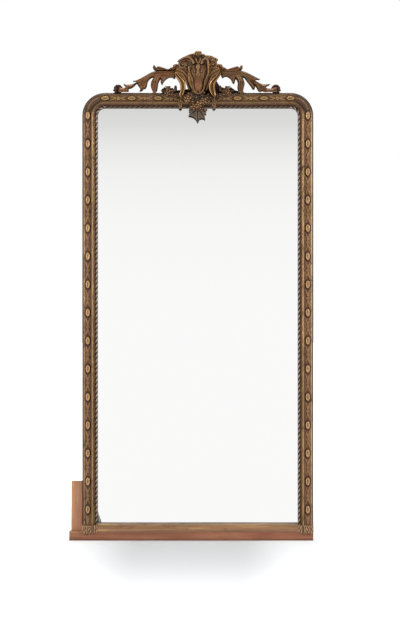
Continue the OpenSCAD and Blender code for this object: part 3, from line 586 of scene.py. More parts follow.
def carved_gold(name, gold, pale, clay, dirt_and_shade, lustre, grey=0.0, sheen=0.0):
    """Old gilding on carving: pale where it stands out, rubbed and partly a painted highlight, red clay in
    patches, brown with dirt in the hollows, and darker on the side walls that weather marks as painted
    shade."""
    finish = Finish(name)
    open_, ridge = finish.noted("open"), finish.noted("ridge")
    slow = finish.cloud(13, 3)
    patch = finish.cloud(48, 5, rough=0.6)
    fine = finish.cloud(220, 4, rough=0.6)
    # Pale on the ridges: rubbed gold, and partly a painted highlight.
    wear_and_highlight = (ridge * 0.85 + patch * 0.3 + fine * 0.08).step(0.56, 0.86) * open_.step(0.5, 0.9)
    bare = (patch * 0.4 + slow * 0.6).step(0.44, 0.58)
    # Darker in the hollows with dirt, and on the side walls of a carving as painted shade.
    grime = (open_ * 0.8 + ridge * 0.45 + patch * 0.35).step(1.16, 0.6)
    greyed = finish.cloud(9, 3, (1, 1, 1.7)).step(0.52, 0.66) * grey
    color = finish.shade(gold, 0.85 + patch.step(0.3, 0.7) * 0.3)
    color = finish.mix(bare * 0.7, color, clay)
    color = finish.mix(greyed, color, tint(98, 90, 78))
    color = finish.mix(grime * 0.9, color, dirt_and_shade)
    color = finish.mix(wear_and_highlight * 0.7, color, pale)
    roughness = 0.4 - sheen + bare * 0.16 + grime * 0.25
    return finish.close(color, roughness, lustre * (1 - grime), bump=patch * 0.7 + fine * 0.3, depth=0.0005)


def mirror(mesh, side):
    """Turns a left-hand carving into its right-hand fellow, where it is for that side."""
    if side < 0:
        bmesh.ops.scale(mesh, vec=(-1, 1, 1), verts=mesh.verts)


block_gold = carved_gold(
    "block_gold", tint(150, 114, 81), tint(188, 152, 116), tint(130, 90, 62), tint(86, 58, 37), lustre=0.2,
)
foot_low = 36.4
foot_top = 65.0
board_front = 28.0
board_top = 39.0
wide_leaf = [
    [(-500, 65)], [(-459.2, 65), (-459, 44)], [(-461, 30), (-465, 35)], [(-470, 27), (-475, 34)],
    [(-480, 28), (-485, 35)], [(-490, 27), (-495, 34)], [(-499, 28)],
]
wide_cuts = [
    [(-496, 60), (-492, 50), (-496, 40), (-494, 30)], [(-488, 62), (-483, 54), (-489, 45), (-483, 36)],
    [(-478, 62), (-473, 55), (-479, 47), (-473, 38), (-476, 30)],
    [(-468, 62), (-464, 52), (-469, 43), (-465, 34)],
]
slim_leaf = [
    [(-458.6, 65)], [(-434, 65), (-434, 42)], [(-437, 31), (-442, 36)], [(-447, 28), (-452, 36)],
    [(-457, 29)],
]
slim_cuts = [
    [(-453, 62), (-450, 50), (-454, 40), (-450, 31)], [(-443, 62), (-439, 52), (-444, 42), (-440, 34)],
]
for side, name in sides:
    mesh = bmesh.new()
    for form, cuts, front in ((wide_leaf, wide_cuts, 40.0), (slim_leaf, slim_cuts, 34.0)):
        outer, inner = form[0][0][0], form[1][0][0]
        before_board = Vector((outer, 7 - front, foot_low)), Vector((inner, -board_front, foot_top))
        over_board = Vector((outer, -board_front, board_top)), Vector((inner, 0, foot_top))
        blank(mesh, *before_board, mm)
        blank(mesh, *over_board, mm)
        carve(mesh, form, cuts, level(front), level(front - 8), edge=4, cut=2.4, step=1.5, up=0.0)
    mirror(mesh, side)
    weather(mesh, paint_side_shade=False)
    block = put(mesh, "foot_block_" + name + "_carved", block_gold)
    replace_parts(block, "foot_block_" + name)

# Rope: a twisted strand carved along the sight edge, dull and dark, with black in its grooves. The strands
# lie the same way on both stiles, so neither side is the other's mirror image. The top length is darker and
# duller. Across each strand the inner side is painted darker and the outer flank lighter, as painted light.
outer_x = 500.0
turn_r = 99.0
corner_x = 401.0
corner_z = 1838.0
run = corner_z - foot_top
rope_mid = 60.25
rope_w = 11.0
rope_bed = 8.0
rope_rise = 7.5
rope_pitch = 21.6
rope_lean = 13.0


def relief(mesh, along, across, face, back):
    """A carved form in millimetres: a grid for its face, sides that fall straight back, and a flat back.
    face gives the place and the depth towards the room for t from root to tip and s from side to side, and
    where it has a fourth value, how bare of dirt the place is. back gives the depth of the back for t."""
    off = next_layer()
    clean = mesh.verts.layers.float.get("clean") or mesh.verts.layers.float.new("clean")
    verts = bmesh.ops.create_grid(mesh, x_segments=along, y_segments=across, size=1)["verts"]
    far = {}
    for vert in verts:
        t, s = (vert.co.x + 1) / 2, vert.co.y
        far[vert] = back(t)
        x, z, depth, *bare = face(t, s)
        vert.co = (x * mm, -depth * mm, z * mm)
        vert[clean] = bare[0] if bare else 0.0
    rim = [edge for edge in dict.fromkeys(e for vert in verts for e in vert.link_edges) if edge.is_boundary]
    made = bmesh.ops.extrude_edge_only(mesh, edges=rim)["geom"]
    for vert in [item for item in made if isinstance(item, bmesh.types.BMVert)]:
        front = [edge.other_vert(vert) for edge in vert.link_edges if edge.other_vert(vert) in far]
        vert.co.y = -(far[front[0]] + off) * mm
    loop = [item for item in made if isinstance(item, bmesh.types.BMEdge) and item.is_boundary]
    bmesh.ops.edgeloop_fill(mesh, edges=loop)


def up_left(inset, along, middle):
    """A place on a line up the left stile and round its corner, inset from the outer edge, in millimetres.
    Lengths round the corner are those of a line with the inset that middle gives."""
    if along <= run:
        return Vector((inset - outer_x, foot_top + along))
    turn = math.pi - (along - run) / (turn_r - middle)
    return Vector((-corner_x, corner_z)) + (turn_r - inset) * Vector((math.cos(turn), math.sin(turn)))


def rope(mesh, length, lean, line):
    """A twisted strand in millimetres, along a line that gives the place for an inset and a length."""
    turns = round(length / rope_pitch)

    def face(t, s):
        out = math.sin(s * math.pi / 2)
        phase = turns * t - lean * out / 2 / rope_pitch
        strand = abs(math.cos(math.pi * phase))
        strand = strand * strand * (3 - 2 * strand)
        place = line(rope_mid + rope_w / 2 * out * (0.84 + 0.16 * strand), t * length)
        depth = rope_bed + rope_rise * (0.4 + 0.6 * strand) * max(0.02, math.cos(s * math.pi / 2))
        # Painted light: the inner side of each strand is made darker and its outer flank lighter.
        return place.x, place.y, depth, max(0.02, strand ** 1.4 * (1 - 0.1 * s))

    relief(mesh, turns * 10, 8, face, level(rope_bed - 1))


rope_gold = carved_gold(
    "rope_gold", tint(122, 101, 84), tint(184, 164, 148), tint(108, 78, 62), tint(40, 30, 24), lustre=0.2,
)
top_rope_gold = carved_gold(
    "top_rope_gold", tint(86, 65, 46), tint(106, 86, 66), tint(80, 54, 40), tint(44, 31, 22), lustre=0.15,
)
corner_run = math.pi / 2 * (turn_r - rope_mid)
for side, name in (*sides, (0, "top")):
    mesh = bmesh.new()
    if side:
        rope(mesh, run + corner_run, rope_lean * side, lambda inset, along: up_left(inset, along, rope_mid))
    else:
        rope(mesh, 2 * corner_x, -rope_lean, lambda inset, along: Vector((along - corner_x, top_z - inset)))
    mirror(mesh, side)
    weather(mesh, reach=0.004, paint_side_shade=False)
    gold = rope_gold if side else top_rope_gold
    twist = put(mesh, "rope_" + name + "_twisted", gold, smooth=60)
    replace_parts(twist, "rope_" + name)

# Cabochons: oval bosses along the frieze, carved, gilded and burnished until they shine, with a shallow
# furrow along the middle. Each lies in a sunk ring that is brown with dirt. The top row is duller. The
# bright swell of each is burnished and partly a painted highlight.
bed = 24.0
frieze_mid = 24.75
cab_l = 37.5
cab_w = 22.0
cab_rise = 9.0
cab_n = 15
top_n = 8
cab_first = cab_l / 2 + 50
cab_step = (run - cab_first) / (cab_n - 1)
top_step = 2 * corner_x / (top_n - 1)
dome = [
    (0.0, 0.0, -0.1), (1.36, 1.26, -0.1), (1.36, 1.26, 0.03), (1.2, 1.16, 0.08), (1.03, 1.03, 0.02),
    (0.99, 0.97, 0.3), (0.93, 0.9, 0.56), (0.86, 0.8, 0.78), (0.8, 0.68, 0.94), (0.73, 0.56, 1.0),
    (0.66, 0.42, 0.98), (0.58, 0.3, 0.88), (0.4, 0.12, 0.8), (0.0, 0.0, 0.78),
]


def lathe(mesh, profile, steps, unit=mm):
    """Turns a profile, given in radius and depth, round the line towards the room."""
    points = [mesh.verts.new((radius * unit, -depth * unit, 0)) for radius, depth in profile]
    lines = [mesh.edges.new(pair) for pair in zip(points, points[1:])]
    bmesh.ops.spin(mesh, geom=points + lines, angle=math.tau, steps=steps, axis=(0, 1, 0), use_merge=True)


def polish_and_highlight(k, height):
    """How bare a ring of the cabochon is: dirty in the sunk ring, bright on the burnished swell, which is
    partly a painted highlight, and middling in the furrow.
    """
    if 0 < k < 5:
        return 0.1
    if k < 11:
        return min(0.9, 0.35 + 0.7 * max(0, height - 0.3))
    return 0.53


def on_left(along):
    """Where an ornament of the left stile or its corner lies: its own X runs along the frieze."""
    place = up_left(frieze_mid, along, frieze_mid)
    turn = 180 if along <= run else 180 - math.degrees((along - run) / (turn_r - frieze_mid))
    spot = Vector((place.x, -bed, place.y)) * mm
    return Matrix.Translation(spot) @ Matrix.Rotation(math.radians(90 - turn), 4, "Y")


def on_top(x):
    return Matrix.Translation(Vector((x, -bed, top_z - frieze_mid)) * mm)


def unit_of(mesh, name):
    """One carved unit, weathered and ready to be set out along the frieze."""
    weather(mesh, reach=0.008, paint_side_shade=False)
    unit = bpy.data.meshes.new(name)
    mesh.to_mesh(unit)
    mesh.free()
    return unit


def scatter(unit, places):
    """Copies of one carved unit at a list of places."""
    mesh = bmesh.new()
    for place in places:
        count = len(mesh.verts)
        mesh.from_mesh(unit)
        mesh.verts.ensure_lookup_table()
        bmesh.ops.transform(mesh, matrix=place, verts=mesh.verts[count:])
    return mesh


mesh = bmesh.new()
lathe(mesh, [*((k, 0) for k in range(len(dome) - 1)), (0, -1)], steps=32, unit=1)
bmesh.ops.remove_doubles(mesh, verts=mesh.verts, dist=1e-4)
clean = mesh.verts.layers.float.new("clean")
for vert in mesh.verts:
    k = len(dome) - 1 if vert.co.y > 0.5 else round(math.hypot(vert.co.x, vert.co.z))
    long, wide, height = dome[k]
    way = Vector((vert.co.x, 0, vert.co.z)).normalized()
    vert.co = (way.x * long * cab_l / 2 * mm, -height * cab_rise * mm, way.z * wide * cab_w / 2 * mm)
    vert[clean] = polish_and_highlight(k, height)
cabochon = unit_of(mesh, "cabochon")
cabochon_gold = carved_gold(
    "cabochon_gold", tint(158, 119, 78), tint(218, 178, 132), tint(130, 86, 58), tint(58, 31, 14),
    lustre=0.5, sheen=0.12,
)
top_cabochon_gold = carved_gold(
    "top_cabochon_gold", tint(134, 101, 58), tint(198, 160, 106), tint(114, 76, 46), tint(84, 58, 32),
    lustre=0.4, sheen=0.06,
)
up_places = [on_left(cab_first + k * cab_step) for k in range(cab_n)]
top_places = [on_top(-corner_x + k * top_step) for k in range(top_n)]
for side, name in (*sides, (0, "top")):
    mesh = scatter(cabochon, up_places if side else top_places)
    mirror(mesh, side)
    gold = cabochon_gold if side else top_cabochon_gold
    row = put(mesh, "cabochons_" + name + "_burnished", gold)
    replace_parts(row, "cabochons_" + name)


# Leafage: between the cabochons a small open flower with leaves each way, and round each corner one long
# leaf whose ribs end in a beaded edge. It is carved in the frieze, dull and full of dirt.
def leaf(mesh, root, bend, tip, width, front, back, lobes=4, notch=0.4, lift=0.3, across=6):
    """A carved leaf in millimetres, along a curve from root to tip: a sunk midrib, veins that run out to
    the notches between its lobes, and a tip that lifts off what is behind it."""
    root, bend, tip = Vector(root), Vector(bend), Vector(tip)

    def middle(t):
        return (1 - t) ** 2 * root + 2 * t * (1 - t) * bend + t * t * tip

    def seat(t):
        return back(middle(t).y) + lift * t * t

    def face(t, s):
        way = (2 * (1 - t) * (bend - root) + 2 * t * (tip - bend)).normalized()
        swell = (0.62 + 1.15 * t) * (1 - t) ** 0.65 + 0.1
        cut = (1 - abs(math.sin(math.pi * lobes * t))) ** 1.5
        reach = s * width / 2 * swell * (1 - notch * abs(s) ** 3 * cut)
        place = middle(t) + Vector((-way.y, way.x)) * reach
        deep = seat(t)
        high = front(middle(t).y)
        thick = high - deep
        ridge = high - 0.3 * thick * t * t
        valley = (1 - abs(math.sin(math.pi * lobes * (t + 0.2 * (1 - abs(s)))))) ** 2 * min(1, 2 * abs(s))
        low = deep + 0.45 * thick
        depth = low + (ridge - low) * (1 - abs(s) ** 1.9) - 0.16 * thick * valley
        depth -= 0.12 * thick * math.exp(-((s / 0.14) ** 2)) * (1 - t)
        return place.x, place.y, depth

    relief(mesh, 6 * lobes, across, face, seat)


def flower(mesh, x, y, back, rise, radius, petals=5, turn=90.0, bare=0.0):
    """An open flower in millimetres: rounded petals, each with a hollow, round a boss. bare is how far its
    petals are rubbed."""
    for k in range(petals):
        angle = math.radians(turn + 360 / petals * k)
        way = Vector((math.cos(angle), math.sin(angle)))
        out = Vector((-way.y, way.x))

        def face(t, s):
            half = radius * (0.42 if bare else 0.34) * math.sin(math.pi * (0.12 + 0.8 * t)) ** 0.7
            place = Vector((x, y)) + way * radius * (0.16 + 0.84 * t) + out * half * s
            hollow = 0.3 * (1 - abs(s)) ** 1.5 * t if bare == 0 else 0.35 * s * s
            depth = back + rise * (0.45 + 0.4 * math.sin(math.pi * (0.15 + 0.75 * t)) - hollow)
            return place.x, place.y, depth, bare * (0.62 + 0.38 * t) * (1 - 0.42 * s * s)

        relief(mesh, 5, 4, face, level(back))
    boss = Matrix.Translation(Vector((x, -back - rise * 0.55, y)) * mm) @ Matrix.Diagonal((1, 1.3, 1, 1))
    bmesh.ops.create_icosphere(mesh, subdivisions=2, radius=radius * 0.28 * mm, matrix=boss)


def leafage(step):
    """The unit between two cabochons that stand a step apart: three leaves each way from one flower."""
    mesh = bmesh.new()
    reach = step / 2 - cab_l / 2 - 3
    sunk = level(-0.5)
    for way in (1, -1):
        for lean in (14, -14):
            end = Vector((reach * math.cos(math.radians(lean)), reach * math.sin(math.radians(lean)))) * way
            bent = Vector((end.x * 0.55, end.y * 0.35))
            leaf(mesh, (end.x * 0.08, 0), bent, end, 9.0, level(4.6), sunk, lift=0.5)
        leaf(mesh, (0, 0), (reach * 0.3 * way, 0), (reach * 0.72 * way, 0), 8.0, level(5.4), sunk, lobes=3)
    flower(mesh, 0, 0, 1.0, 6.5, 9.2)
    return unit_of(mesh, "leafage")


leafage_gold = carved_gold(
    "leafage_gold", tint(112, 84, 52), tint(184, 146, 108), tint(112, 62, 48), tint(50, 30, 18), lustre=0.5,
    grey=0.4,
)
top_leafage_gold = carved_gold(
    "top_leafage_gold", tint(134, 103, 60), tint(184, 148, 98), tint(118, 76, 46), tint(66, 44, 25),
    lustre=0.4, grey=0.3,
)
corner_turn = math.pi / 2 * (turn_r - frieze_mid)


def corner_leaf():
    """The long leaf round a corner: ribs across the frieze that end in small beads at its outer edge."""
    mesh = bmesh.new()
    length = corner_turn - cab_l - 4
    first = run + cab_l / 2 + 2

    def face(t, s):
        wide = 11.4 * math.sin(math.pi * (0.06 + 0.88 * t)) ** 0.35
        place = up_left(frieze_mid - wide * s, first + t * length, frieze_mid)
        rib = abs(math.cos(math.pi * 15 * t))
        bead = 1.3 * rib * (1 if s > 0.55 else 0.5)
        bare = 0.3 + 0.55 * rib if s > 0.55 else 0.2 + 0.5 * rib * abs(math.cos(7 * s))
        depth = bed + 2.2 + 1.8 * (1 - s * s) + bead - 1.2 * math.exp(-(((s - 0.45) / 0.12) ** 2))
        return place.x, place.y, depth, bare

    relief(mesh, 90, 10, face, level(bed - 0.5))
    return unit_of(mesh, "leafage_corner")


def foot_leaf():
    """Three leaves that rise from the foot block to the first cabochon."""
    mesh = bmesh.new()
    for lean in (9, -9, 0):
        tip = Vector((cab_first - cab_l / 2 - 7, math.sin(math.radians(lean)) * 44))
        leaf(mesh, (5, 0), (tip.x * 0.5, tip.y * 0.3), tip, 11, level(5.0), level(-0.5), lobes=5)
    bmesh.ops.transform(mesh, matrix=on_left(0), verts=mesh.verts)
    return unit_of(mesh, "leafage_foot")


up_leafage = leafage(cab_step)
top_leafage = leafage(top_step)
up_places = [on_left(cab_first + (k + 0.5) * cab_step) for k in range(cab_n - 1)]
top_places = [on_top(-corner_x + (k + 0.5) * top_step) for k in range(top_n - 1)]
for side, name in (*sides, (0, "top")):
    if side:
        mesh = scatter(up_leafage, up_places)
        mesh.from_mesh(corner_leaf())
        mesh.from_mesh(foot_leaf())
    else:
        mesh = scatter(top_leafage, top_places)
    mirror(mesh, side)
    gold = leafage_gold if side else top_leafage_gold
    leaves = put(mesh, "leafage_" + name + "_carved", gold)
    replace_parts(leaves, "leafage_" + name)

# Crest backboard: a plain shaped board, stained dark, to which the carving of the crest is glued. The two
# battens that brace it from behind are of the carcass's bare pine.
crest_dark = wood("crest_dark", "z", tint(52, 42, 36), tint(34, 27, 24), tint(28, 24, 24))
dress(crest_dark, "crest_board")

# C-scrolls: two long curved mouldings that spring from the frame and turn outwards under the ears, each
# with a hollow between two bright lips. Places in the crest are in millimetres from the frame's middle
# line and above the moulding. They are drawn for the left, and a piece for the right is mirrored.
board_depth = -4.0
moulding_y = 38.0
lap_clear = moulding_y + 0.2
scroll_steps = 60


def crest(x, h):
    return Vector((x, top_z + h))


def crest_front(proud):
    """Depth of the carving's face: below 50 mm it comes forward, so as to lap over the moulding."""
    return lambda z: proud + (lap_clear - 16) * min(1, max(0, (50 - (z - top_z)) / 50))


def crest_back(seat=board_depth):
    """Depth of the carving's back: on the board or another seat, and in front of the moulding below it."""
    return lambda z: lap_clear if z < top_z + 5 else seat


def eased(line, times):
    """A line with its places drawn towards the middle of their neighbours, its ends kept."""
    for _ in range(times):
        line = [line[0], *((a + 2 * b + c) / 4 for a, b, c in zip(line, line[1:], line[2:])), line[-1]]
    return line


def carved_piece(mesh, name, material, side=1):
    """Puts a carving, mirrored where it is for the right, in place of its plain solid."""
    mirror(mesh, side)
    weather(mesh)
    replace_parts(put(mesh, name + "_carved", material, smooth=50), name)


bright_gold = carved_gold(
    "bright_gold", tint(172, 120, 62), tint(252, 222, 166), tint(150, 94, 46), tint(92, 56, 28), lustre=0.9,
    sheen=0.12,
)
left_scroll = (
    [
        (-95, 97), (-93, 91), (-86, 80), (-75, 68), (-62, 57), (-55, 47), (-53, 34), (-53, 20), (-57, 5),
        (-63, -9), (-72, -23),
    ],
    [(-99, 96), (-100, 81), (-94, 67), (-83, 50), (-77, 35), (-76, 20), (-77, 2), (-81, -11), (-76, -24)],
)
right_scroll = (
    [
        (-96, 104), (-95, 92), (-87, 80), (-77, 68), (-63, 57), (-51, 46), (-46, 34), (-46, 20), (-50, 5),
        (-58, -9), (-69, -23),
    ],
    [
        (-100, 104), (-102, 89), (-96, 73), (-85, 58), (-77, 44), (-74, 30), (-75, 16), (-78, -2),
        (-79, -15), (-73, -24),
    ],
)
for (side, name), lips in zip(sides, (left_scroll, right_scroll)):
    mesh = bmesh.new()
    outer, inner = [
        eased(smooth_path([crest(*place) for place in lip], scroll_steps), times=8) for lip in lips
    ]

    def scroll_face(t, s):
        k = round(t * scroll_steps)
        place = outer[k].lerp(inner[k], (s + 1) / 2)
        lip = abs(s)
        hollow = min(1, max(0, (lip - 0.14) / 0.46))
        hollow = hollow * hollow * (3 - 2 * hollow)
        high = 26 + 8 * hollow
        if lip > 0.7:
            high -= 9 * ((lip - 0.7) / 0.3) ** 2
        bare = 0.46 + (0.5 if s < 0 else 0.36) * hollow if lip < 0.86 else 0.4
        if side < 0:
            bare *= 0.84
        return place.x, place.y, crest_front(high + (5 if s < 0 else 0) * lip)(place.y), bare

    def scroll_back(t):
        k = round(t * scroll_steps)
        return crest_back()(min(outer[k].y, inner[k].y))

    relief(mesh, scroll_steps, 22, scroll_face, scroll_back)
    carved_piece(mesh, "c_scroll_" + name, bright_gold, side)

# Cartouche: the shield in the middle. Its body swells forward between two pairs of raised rims, leaves hang
# down it from the shell above, and a smooth tongue is let into its foot.
carving_gold = carved_gold(
    "carving_gold", tint(114, 80, 47), tint(168, 129, 84), tint(95, 59, 42), tint(60, 40, 27), lustre=0.8,
    grey=0.45,
)
ground_low, ground_top = 50, 167
ground_rows = [
    (50, 48), (66, 60), (84, 72), (98, 79), (121, 81), (138, 81), (150, 68), (160, 44), (167, 16),
]
body_low, body_top = -14, 118
body_rows = [
    (-14, 8, 8), (-6, 20, 14), (8, 32, 26), (22, 40, 31), (36, 45, 33), (57, 50, 35), (80, 52, 36),
    (100, 50, 34), (118, 44, 28),
]
tongue_x = 2.0
tongue_low, tongue_top = 12.0, 48.0
tongue_r = 17.0
tongue_bed = 45.6


def crest_front_at(proud):
    """The same face as crest_front, for a place."""
    return lambda place: crest_front(proud)(place.y)


def rib(mesh, places, width, front, back, taper=(1.0, 1.0), count=None, rise=1.0, bare=0.0):
    """A round-backed rib along a line of places, its width shared out between taper's two ends. bare is how
    far its ridge is rubbed."""
    count = count or 6 * len(places)
    line = smooth_path([crest(*place) for place in places], count)

    def face(t, s):
        k = round(t * count)
        way = (line[min(k + 1, count)] - line[max(k - 1, 0)]).normalized()
        half = width / 2 * (taper[0] + (taper[1] - taper[0]) * t)
        place = line[k] + Vector((-way.y, way.x)) * half * s
        fallen = rise * half * (1 - math.sqrt(1 - (0.94 * s) ** 2))
        return place.x, place.y, front(line[k].y) - fallen, bare * (1 - 0.55 * s * s)

    relief(mesh, count, 8, face, lambda t: back(line[round(t * count)].y))


def between(rows, h):
    """The values of a table of rows at a height."""
    for below, above in zip(rows, rows[1:]):
        if h <= above[0]:
            t = (h - below[0]) / (above[0] - below[0])
            return [b + (a - b) * t for b, a in zip(below[1:], above[1:])]
    return rows[-1][1:]


def ground_face(t, s):
    h = ground_low + (ground_top - ground_low) * t
    wide = between(ground_rows, h)[0]
    return *crest(wide * s, h), 24 - 10 * abs(s) ** 5 + 1.4 * math.sin(s * 14) * (1 - abs(s))


def body_face(t, s):
    h = body_low + (body_top - body_low) * t
    wide, proud = between(body_rows, h)
    place = crest(wide * s, h)
    back = crest_back()(place.y)
    high = crest_front(proud + 10)(place.y)
    depth = back + (high - back) * (1 - 0.4 * abs(s) ** 4)
    depth -= 3.0 * (1 - abs(math.cos(math.pi * 2.5 * s))) * min(1, max(0, (h - 20) / 40))
    away = math.hypot(place.x - tongue_x, h - min(tongue_top, max(tongue_low, h)))
    return place.x, place.y, min(depth, tongue_bed) if away < tongue_r + 2 else depth


def body_back(t):
    return crest_back()(top_z + body_low + (body_top - body_low) * t)


def reflected(strokes, side, middle=1):
    """Strokes drawn to the right of a middle line, or turned over to its left."""
    return [[(x * side + middle, h) for x, h in stroke] for stroke in strokes]


mesh = bmesh.new()
relief(mesh, 30, 26, ground_face, level(board_depth))
relief(mesh, 52, 44, body_face, body_back)
rims = {
    -1: [
        (-40, 112), (-37, 92), (-32, 74), (-26, 60), (-22, 46), (-20.5, 28), (-17, 10), (-9, -4), (3, -8.5),
    ],
    1: [(45, 114), (46, 96), (44, 78), (37, 61), (31, 46), (28, 28), (24, 10), (14, -4), (3, -8.5)],
}
outer_rim = [(62, 76), (55, 60), (48, 44), (42, 26), (35, 9)]
arch = [(20, 42), (18, 54), (11, 63), (0, 66)]
cup = [(-27, 98), (-24, 82), (-16, 68), (-5, 61), (1, 60)]
wing_foot = {
    -1: [(38, 20), (43, 34), (48, 46), (61, 53), (75, 65), (89, 79)],
    1: [(38, 20), (45, 32), (53, 43), (64, 53), (77, 64), (88, 77)],
}
wing = [[(98, 95), (92, 108), (78, 112)], [(60, 112), (46, 108), (44, 84)]]
wing_cuts = [
    [(90, 96), (66, 84), (46, 62)], [(82, 106), (60, 96), (46, 80)], [(78, 76), (60, 66), (42, 52)],
    [(70, 110), (48, 96)],
]
drops = ((15.5, 90, 4.6, 47), (8, 1.5, 3.4, 70))
for side in (-1, 1):
    rib(mesh, rims[side], 7.5, crest_front(52), crest_back(), taper=(1.1, 0.8), rise=1.2, bare=0.8)
    rib(
        mesh, *reflected([outer_rim], side, middle=0), 9, crest_front(36), crest_back(), taper=(0.9, 0.7),
        rise=1.3,
    )
    rib(mesh, *reflected([arch], side, middle=2), 5, crest_front(46), crest_back(20), bare=0.7)
    rib(mesh, *reflected([cup], side), 8, crest_front(48), crest_back(20), taper=(0.7, 1.1), rise=1.2)
    outline = reflected((wing_foot[side], *wing), side)
    carve(
        mesh, outline, reflected(wing_cuts, side), crest_front_at(35), crest_back(16), edge=5, cut=2.4,
        round_off=0.6,
    )
    for x, h, radius, depth in drops:
        place = Matrix.Translation(Vector((1 + side * x, -depth, top_z + h)) * mm)
        shape = place @ Matrix.Diagonal((1, 1, 1.3, 1))
        bmesh.ops.create_icosphere(mesh, subdivisions=2, radius=radius * mm, matrix=shape)
mid_leaf = [
    [(-7, 124), (-10, 112)], [(-12, 104), (-7, 98)], [(-9, 88), (-4, 76)], [(1, 66), (6, 76)],
    [(11, 88), (9, 98)], [(14, 104), (12, 112), (9, 124)],
]
mid_cuts = [[(-3, 122), (-3, 100), (0, 72)], [(5, 122), (5, 100), (2, 72)]]
carve(mesh, mid_leaf, mid_cuts, crest_front_at(50), crest_back(20), edge=5, cut=2.0, step=1.6)
for side, x in ((-1, -80), (1, 82)):
    edge = [(x - 2 * side, 134), (x, 122), (x - 3 * side, 106), (x - 12 * side, 94), (x - 22 * side, 86)]
    rib(mesh, edge, 7, crest_front(33), crest_back(), taper=(0.7, 1.0), rise=1.3)
carved_piece(mesh, "cartouche", carving_gold)


def tongue_finish():
    """Smooth gilding, worn to its clay: lighter in its lower half, darker towards the top and along its
    sides, with rubbed patches.
    """
    finish = Finish("tongue_gold")
    x, _, z = finish.axes()
    patch = finish.cloud(40, 5)
    fine = finish.cloud(200, 4)
    color = finish.mix((z + patch * 0.03).step(1.955, 2.01), tint(172, 120, 80), tint(120, 80, 54))
    color = finish.mix(patch.step(0.5, 0.64) * 0.5, color, tint(118, 74, 54))
    color = finish.mix((patch * 0.6 + fine * 0.4).step(0.42, 0.34), color, tint(184, 134, 88))
    color = finish.mix((x - tongue_x * mm).size().step(0.010, 0.017) * 0.7, color, tint(64, 42, 30))
    return finish.close(color, 0.42 + patch * 0.2, 0.6, bump=patch * 0.7 + fine * 0.3, depth=0.0006)


dress(tongue_finish(), "tongue_panel")

# Shell: it crowns the cartouche. On top is a bud, under it three small leaves and a folded ribbon, and to
# each side a roll that turns over the ear, on the right with the scales of a shell beside it.
hood = [
    [(-15, 124), (-20, 140), (-22, 155), (-20, 170)], [(-39, 165), (-53, 158), (-68, 150), (-80, 143)],
    [(-90, 135.5), (-80, 130)], [(-70, 132), (-56, 137), (-40, 134), (-22, 122)],
]
hood_cuts = [[(-24, 162), (-46, 158), (-74, 144)]]
hood_right = [
    [(15, 124), (20, 140), (22, 155), (24, 167)], [(33, 163), (45, 162), (58, 160), (70, 154)],
    [(78, 151), (88, 143), (84, 136)], [(78, 128), (66, 132), (52, 136), (38, 134), (22, 122)],
]
scale_cuts = [
    [(50, 150), (84, 138)], [(48, 142), (80, 132)], [(56, 158), (60, 130)], [(66, 156), (70, 130)],
    [(76, 150), (78, 130)],
]
roll = [(-82, 136.5), (-70, 144), (-57, 150), (-44, 152), (-32, 148), (-23, 138), (-17, 124)]
roll_right = [(15, 122), (18, 135), (25, 143), (36, 146), (43, 137), (46, 122), (46, 108)]
fold = [(-9, 146), (-6, 136), (2, 124)]
fold_right = [(13, 146), (9, 136), (3, 125)]
small_leaves = ((-20, 152, 9, 20), (1, 154, 10, 22), (22, 153, 9, 20))
bud = [
    [(-31, 163), (-25, 170), (-15, 174)], [(-12, 179), (-4, 182), (4, 182)],
    [(12, 181.5), (17, 176), (17, 170)], [(26, 169), (31, 163), (0, 154)],
]
bud_cuts = [[(-17, 174), (-8, 164)], [(16, 171), (8, 164)]]


def fall(root, tip, at_root, at_tip):
    """The depth of a face that slopes from its root to its tip, on the board or over the moulding."""
    a, b = crest(*root), crest(*tip)
    way = b - a

    def depth(place):
        t = min(1, max(0, (place - a).dot(way) / way.length_squared))
        return crest_front(at_root + (at_tip - at_root) * t)(place.y)

    return depth


mesh = bmesh.new()
carve(mesh, hood, hood_cuts, fall((0, 140), (-80, 140), 36, 28), crest_back(20), edge=6, round_off=0.6)
carve(
    mesh, hood_right, scale_cuts, fall((0, 140), (80, 140), 36, 28), crest_back(20), edge=6, round_off=0.6,
)
rib(mesh, roll, 13, crest_front(43), crest_back(20), taper=(0.5, 1.0), rise=0.9, bare=0.86)
rib(mesh, roll_right, 11, crest_front(44), crest_back(20), taper=(0.9, 1.0), bare=0.84)
for line in (fold, fold_right):
    rib(mesh, line, 7, crest_front(47), crest_back(20), taper=(1.0, 0.8), bare=0.84)
for x, h, width, height in small_leaves:
    form = [
        [(x - 0.4 * width, h + 0.45 * height), (x - 0.5 * width, h)],
        [(x, h - 0.5 * height), (x + 0.5 * width, h)],
        [(x + 0.4 * width, h + 0.45 * height), (x, h + 0.6 * height)],
    ]
    carve(mesh, form, [], crest_front_at(44), crest_back(20), round_off=0.7)
carve(mesh, bud, bud_cuts, crest_front_at(36), crest_back(4), edge=6, cut=1.8, round_off=0.7)
carved_piece(mesh, "crest_shell", carving_gold)

